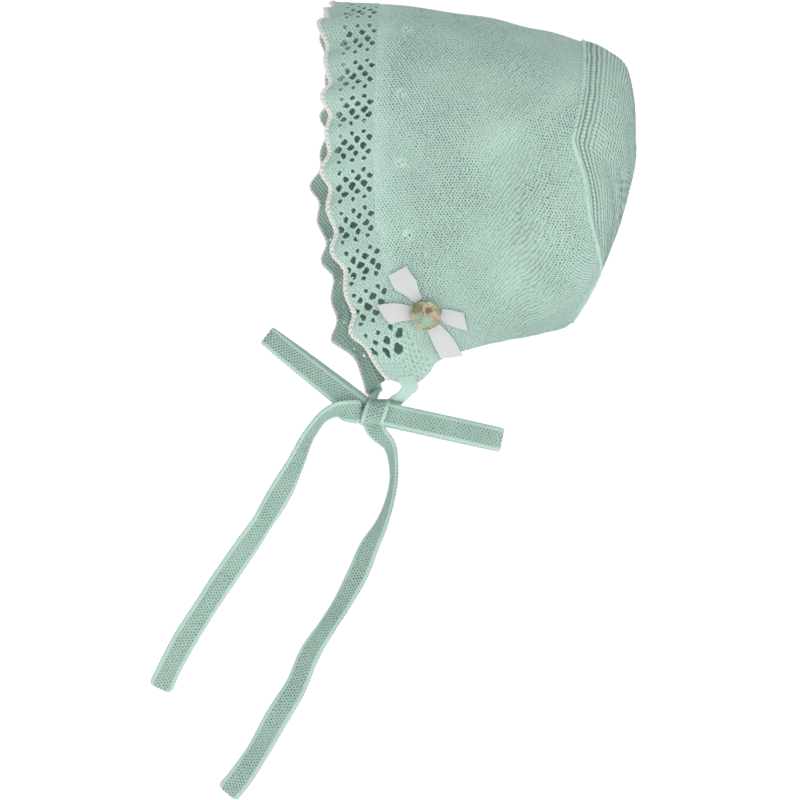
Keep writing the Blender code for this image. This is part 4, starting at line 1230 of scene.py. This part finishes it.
def knit_band(name, path, wide, width, finish, replaced, closed=False, taper=0.0012, shade_lifted=0.0):
    """A flat tubular knit band with piped edges along a path, thinner over a taper at its ends."""
    per_face = 2 * TIE_WALES
    front = np.linspace(-1, 1, per_face + 1)
    place = np.concatenate((front, front[-2:0:-1]))
    face = np.concatenate((np.ones(per_face + 1), -np.ones(per_face - 1)))
    sides = len(place)
    if closed:
        run = np.roll(path, -1, axis=0) - np.roll(path, 1, axis=0)
    else:
        run = np.gradient(path, axis=0)
    steps = np.linalg.norm(run, axis=-1)
    run = run / steps[:, None]
    if closed:
        steps = steps / 2
    length = np.cumsum(steps) - steps[0]
    wide = unit(wide - run * np.sum(wide * run, axis=-1, keepdims=True))
    out = np.cross(wide, run)
    course = np.broadcast_to((length / COURSE)[:, None], (len(path), sides))
    wale = np.broadcast_to((place + 1) / 2 * TIE_WALES, course.shape)
    relief = stitch_relief(course, wale)
    crown = np.clip(1 - np.abs(place) ** 5, 0, 1) ** 0.5
    piping = np.exp(-((np.abs(place) - PIPING_PLACE) / PIPING_WIDTH) ** 2)
    swell = crown * (0.78 + 0.30 * piping)
    ends = np.ones(len(path))
    cut = np.zeros(len(path))
    if not closed:
        from_end = np.minimum(length, length[-1] - length)
        ends = np.sqrt(np.clip(from_end / taper, 0.06, 1))
        to_corner = np.clip(TIE_CORNER - from_end, 0, TIE_CORNER)
        cut = TIE_CORNER - np.sqrt(TIE_CORNER ** 2 - to_corner ** 2)
    offset = face * (TIE_THICK / 2 * swell * ends[:, None] + STITCH_RELIEF * (relief - 0.6) * crown)
    sideways = place * (width / 2 - cut)[:, None]
    points = path[:, None, :] + sideways[..., None] * wide[:, None, :]
    points = points + offset[..., None] * out[:, None, :]
    # The piping, and the straps by a given amount, lose the painted gap shade
    relief = relief * (1 - piping) + PIPING_RELIEF * piping + shade_lifted
    stitch = np.stack((course, wale, relief), axis=-1).reshape(-1, 3)
    rows = len(path)
    if closed:
        numbers = np.arange(rows * sides).reshape(rows, sides)
        after = np.roll(numbers, -1, axis=0)
        faces = np.stack((numbers, after, np.roll(after, -1, axis=1), np.roll(numbers, -1, axis=1)), axis=-1)
        faces = faces.reshape(-1, 4).tolist()
    else:
        faces = tube_faces(rows, sides, turned=True)
    piece = make_piece(name, points.reshape(-1, 3), faces, (finish,), replaced, stitch)
    return piece


def knot_place(shares):
    """A place round the knot, from shares of its half depth, half length and height."""
    size = np.array((KNOT_HALF_DEPTH, KNOT_HALF_LENGTH, KNOT_HEIGHT))
    return np.array((KNOT_X, KNOT_Y, KNOT_Z)) + np.array(shares) * size


def sewn_place(side, outward):
    """Where a strap is sewn on outside the chin corner, the frill's edge below and its run there."""
    half_run = 0.2
    counts = side * (REPEATS_PER_SIDE - np.array((STRAP_BACK, 0, 0, 0)))
    along, turn, height = frill_places(counts, outward + np.array((0, 0, -half_run, half_run)))
    lift = np.array((STRAP_SEWN_LIFT, TIE_THICK / 2, TIE_THICK / 2, TIE_THICK / 2))
    points = lifted(along, turn, height + lift)
    return points[0], points[1], points[2] - points[3]


def make_strap(name, side, outward, table, end, wide_end, finish, replaced):
    """A strap sewn to one chin corner, down to the knot."""
    sewn, edge, run = sewn_place(side, outward)
    fall = (edge - sewn) / np.linalg.norm(edge - sewn)
    start = edge + fall * STRAP_SEWN / STRAP_BEND_PARTS
    table = np.array(table)
    points = start + table[:, :3] * (knot_place(end) - start)
    first = np.append(sewn, table[0, 3])
    chosen = np.concatenate((first[None, :], np.column_stack((points, table[:, 3]))))
    rows = eased(chosen, 150)
    share = np.linspace(0, 1, len(rows))[:, None] ** 2
    wide = unit(run) * (1 - share) + np.array(wide_end) * share
    return knit_band(name, rows[:, :3], wide, TIE_WIDTH * rows[:, 3], finish, replaced, taper=STRAP_SEWN,
                     shade_lifted=STRAP_SMOOTH)


def make_loop(name, direction, length, enter, widths, shift, finish, replaced):
    """One loop of the tied bow: out from the knot, folded at its end and back."""
    direction = unit(np.array(direction))
    outward = np.array((1.0, 0.0, 0.0))
    wide = np.cross(outward, direction)
    start = knot_place(enter)
    path = []
    for way, rows in ((1, LOOP_SPREAD), (-1, LOOP_SPREAD[-2::-1])):
        for share, spread in rows:
            apart = outward * TIE_THICK * spread + wide * shift * (1 - share ** 4)
            path.append(start + direction * length * share + way * apart)
    path = eased(path, int(length * 2 / COURSE * TIE_FINENESS))
    wide = np.repeat(wide[None, :], len(path), axis=0)
    outward = np.clip((path - start) @ direction / length, 0, 1)
    width = TIE_WIDTH * (widths[0] + (widths[1] - widths[0]) * outward)
    return knit_band(name, path, wide, width, finish, replaced)


def make_tail(name, table, drop, finish, replaced):
    """One hanging end of the ties."""
    chosen = [(forward * drop, -down * drop, out * TIE_THICK, twist)
              for forward, down, out, twist in table]
    rows = eased(chosen, int(drop * 1.15 / COURSE * TIE_FINENESS))
    path = np.stack((KNOT_X + rows[:, 2], KNOT_Y + rows[:, 0], KNOT_Z + rows[:, 1]), axis=-1)
    run = np.gradient(path, axis=0)
    flat = unit(np.stack((np.zeros(len(path)), -run[:, 2], run[:, 1]), axis=-1))
    twist = np.radians(rows[:, 3])[:, None]
    wide = flat * np.cos(twist) + np.array((1.0, 0.0, 0.0)) * np.sin(twist)
    return knit_band(name, path, wide, np.full(len(path), TIE_WIDTH), finish, replaced)


def make_knot(finish):
    """The band of the tie that wraps aslant round the bow's middle."""
    angles = np.linspace(0, math.tau, 721)
    deep, tall = KNOT_HALF_DEPTH - TIE_THICK / 2, KNOT_HEIGHT / 2 - TIE_THICK / 2
    x = np.sign(np.cos(angles)) * np.abs(np.cos(angles)) ** KNOT_ROUNDING * deep
    z = np.sign(np.sin(angles)) * np.abs(np.sin(angles)) ** KNOT_ROUNDING * tall
    ring = np.stack((KNOT_X + x, KNOT_Y + KNOT_LEAN * z, KNOT_Z + z), axis=-1)
    length = lengths_along(ring)
    rows = int(length[-1] / COURSE) * TIE_FINENESS
    places = np.linspace(0, length[-1], rows, endpoint=False)
    path = np.stack([np.interp(places, length, ring[:, axis]) for axis in range(3)], axis=-1)
    wide = np.repeat(np.array(((0.0, 1.0, 0.0),)), rows, axis=0)
    return knit_band("knot_wrap", path, wide, np.full(rows, KNOT_HALF_LENGTH * 2), finish, "bow_knot",
                     closed=True)


def bow_centre():
    """Where the bow sits: the place along and the angle."""
    return along_at(LACE_SEAM_Y + BOW_ALONG * DEPTH), math.radians(BOW_TURN)


def upright(back, normal):
    """Backward and upward directions along the knit."""
    aft = back / np.linalg.norm(back)
    rise = np.cross(normal, aft)
    return aft, rise * np.sign(rise[2])


def bow_point(backward, upward, height):
    """A point over the knit, by its distance back and up from the bow's centre."""
    along, turn = bow_centre()
    walk = 6
    for _ in range(walk):
        back, round_, normal = slopes_at(along, turn)
        aft, rise = upright(back, normal)
        step = (aft * backward + rise * upward) / walk
        change = np.linalg.lstsq(np.stack((back, round_), axis=1), step, rcond=None)[0]
        along = along + change[0]
        turn = turn + change[1]
    return skin(along, turn) + slopes_at(along, turn)[2] * height


def ribbon(name, stations, finish, replaced):
    """A strip of satin ribbon over the knit, between two edges that run through stations."""
    table = np.array([(*edge_a, *edge_b, layers) for edge_a, edge_b, layers in stations])
    rows, columns = 25, 13
    lines = smooth(np.arange(len(table)), table, np.linspace(0, len(table) - 1, rows))
    outer, inner = [], []
    for back_a, up_a, back_b, up_b, layers in lines:
        for share in np.linspace(0, 1, columns):
            back = (back_a + (back_b - back_a) * share) * RIBBON_WIDTH
            up = (up_a + (up_b - up_a) * share) * RIBBON_WIDTH
            crown = RIBBON_CROWN * math.sin(math.pi * share)
            height = RIBBON_LIFT + layers * RIBBON_LAYER + crown
            outer.append(bow_point(back, up, height + RIBBON_THICK / 2))
            inner.append(bow_point(back, up, height - RIBBON_THICK / 2))
    outer = np.array(outer).reshape(rows, columns, 3)
    inner = np.array(inner).reshape(rows, columns, 3)
    facing = np.cross(outer[1, 0] - outer[0, 0], outer[0, 1] - outer[0, 0]) @ slopes_at(*bow_centre())[2]
    if facing < 0:
        outer, inner = outer[:, ::-1], inner[:, ::-1]
    points, faces = pierced_sheet(outer, inner, np.ones((rows - 1, columns - 1), bool))
    across = np.broadcast_to(np.linspace(0, 1, columns), (rows, columns))
    down = np.broadcast_to(np.linspace(0, 2, rows)[:, None], (rows, columns))
    stitch = np.stack((across, down, across), axis=-1).reshape(-1, 3)
    piece = make_piece(name, points, faces, (finish,), replaced,
                       np.concatenate((stitch, stitch)))
    return piece


def make_button(finish):
    """A turned button with a rim, lying on the bow."""
    along, turn = bow_centre()
    back, _, normal = slopes_at(along, turn)
    aft, rise = upright(back, normal)
    seat = skin(along, turn) + normal * BUTTON_LIFT
    sides = 64
    angles = circle(sides)
    spread = np.outer(np.cos(angles), aft) + np.outer(np.sin(angles), rise)
    rings = [seat + spread * max(radius, 1e-3) * BUTTON_RADIUS + normal * height * BUTTON_THICK
             for radius, height in BUTTON_OUTLINE]
    flat = np.stack((np.cos(angles), np.sin(angles)), axis=-1)
    places = [np.column_stack((flat * radius, np.full(sides, height))) for radius, height in BUTTON_OUTLINE]
    return make_piece("button_disc", np.concatenate(rings), tube_faces(len(rings), sides, turned=True),
                      (finish,), "button", np.concatenate(places))


def make_thread(finish):
    """The thread shank under the button."""
    along, turn = bow_centre()
    back, _, normal = slopes_at(along, turn)
    aft, rise = upright(back, normal)
    base = skin(along, turn)
    rows, sides = 24, 12
    angles = circle(sides)
    spread = np.outer(np.cos(angles), aft) + np.outer(np.sin(angles), rise)
    rings = []
    for share in np.linspace(0, 1, rows):
        radius = THREAD_RADIUS * (0.9 + 0.12 * math.sin(share * math.tau * 4))
        rings.append(base + normal * BUTTON_LIFT * share + spread * radius)
    return make_piece("button_shank", np.concatenate(rings), tube_faces(rows, sides, turned=True), (finish,),
                      "button_thread")


def make_ties(finish):
    """The straps, the knot, its two loops and the two hanging ends."""
    make_knot(finish)
    make_strap("strap_left", 1, LEFT_STRAP_PLACE, LEFT_STRAP, LEFT_STRAP_END, LEFT_STRAP_WIDE, finish,
               "tie_strap_left")
    make_strap("strap_right", -1, RIGHT_STRAP_PLACE, RIGHT_STRAP, RIGHT_STRAP_END, RIGHT_STRAP_WIDE,
               finish, "tie_strap_right")
    make_loop("loop_front", FRONT_LOOP_WAY, FRONT_LOOP, FRONT_LOOP_START, FRONT_LOOP_WIDTHS,
              FRONT_LOOP_SHIFT, finish, "bow_loop_front")
    make_loop("loop_back", BACK_LOOP_WAY, BACK_LOOP, BACK_LOOP_START, BACK_LOOP_WIDTHS,
              BACK_LOOP_SHIFT, finish, "bow_loop_back")
    make_tail("tail_front", FRONT_TAIL, FRONT_TAIL_DROP, finish, "tie_tail_front")
    make_tail("tail_back", BACK_TAIL, BACK_TAIL_DROP, finish, "tie_tail_back")


def make_stage():
    """A plain pale floor that rises into a backdrop."""
    finish, tree, shader = new_material("pale_floor", 0.9)
    shader.inputs["Base Color"].default_value = (0.90, 0.90, 0.90, 1.0)
    shader.inputs["Emission Color"].default_value = (1.0, 1.0, 1.0, 1.0)
    shader.inputs["Emission Strength"].default_value = STAGE_GLOW
    floor_z = CAD_BOUNDS[0][2] - 0.012
    corner, wide, near, tall = 2.6, 5.0, 4.0, 3.2
    turn = np.linspace(0, math.pi / 2, 17)
    bend = 1.2
    x = np.concatenate(((near,), -corner + bend - bend * np.sin(turn), (-corner,)))
    z = np.concatenate(((floor_z,), floor_z + bend - bend * np.cos(turn), (floor_z + tall,)))
    points = [(px, py, pz) for px, pz in zip(x, z) for py in (-wide, wide)]
    faces = [(2 * k, 2 * k + 2, 2 * k + 3, 2 * k + 1) for k in range(len(x) - 1)]
    mesh = bpy.data.meshes.new("pale_floor")
    mesh.from_pydata(points, [], faces)
    mesh.shade_smooth()
    mesh.materials.append(finish)
    placed("pale_floor", mesh)


def aim(item, place, direction):
    """Puts an object at a place, looking in a direction."""
    item.location = place
    item.rotation_mode = "QUATERNION"
    item.rotation_quaternion = direction.to_track_quat("-Z", "Y")


def area_light(name, place, target, size, power):
    """A soft square light that looks at a point."""
    data = bpy.data.lights.new(name, "AREA")
    data.size = size
    data.energy = power
    aim(placed(name, data), place, Vector(target) - Vector(place))


def make_light():
    """A soft key light from beside the camera and a little below it, and a bright surround."""
    world = bpy.data.worlds.new("studio")
    world.use_nodes = True
    world.node_tree.nodes["Background"].inputs["Color"].default_value = (1.0, 1.0, 1.0, 1.0)
    world.node_tree.nodes["Background"].inputs["Strength"].default_value = SURROUND
    bpy.context.scene.world = world
    area_light("key_light", KEY_PLACE, KEY_AIM, KEY_SIZE, KEY_POWER)


def make_camera():
    """The camera at the photograph's angle."""
    azimuth = math.radians(CAMERA_TURN)
    back = Vector((math.sin(azimuth), -math.cos(azimuth), 0.0))
    data = bpy.data.cameras.new("camera")
    data.lens = CAMERA_LENS
    data.sensor_width = 36
    camera = placed("camera", data)
    aim(camera, Vector(CAMERA_AIM) + back * CAMERA_DISTANCE, -back)
    bpy.context.scene.camera = camera


def main():
    """Make the camera, the stage and every piece."""
    bpy.context.scene.view_settings.view_transform = "Standard"
    make_camera()
    make_light()
    make_stage()
    plain = knit_material("mint_plain_knit", 0.25, 0.66)
    lace = knit_material("mint_lace_knit", 0.70, 0.34)
    garter = garter_material()
    tie = knit_material("mint_tie_knit", 0.50, 0.46)
    wrong_side = inner_shade_material()
    satin = satin_material()
    make_body(plain, wrong_side)
    make_back(garter, wrong_side)
    make_seam(plain)
    make_frill(lace, lace_inner_shade_material())
    make_edging(chain_material())
    make_ties(tie)
    for name, stations, replaced in RIBBONS:
        ribbon(name, stations, satin, replaced)
    make_button(button_material())
    make_thread(thread_material())


main()
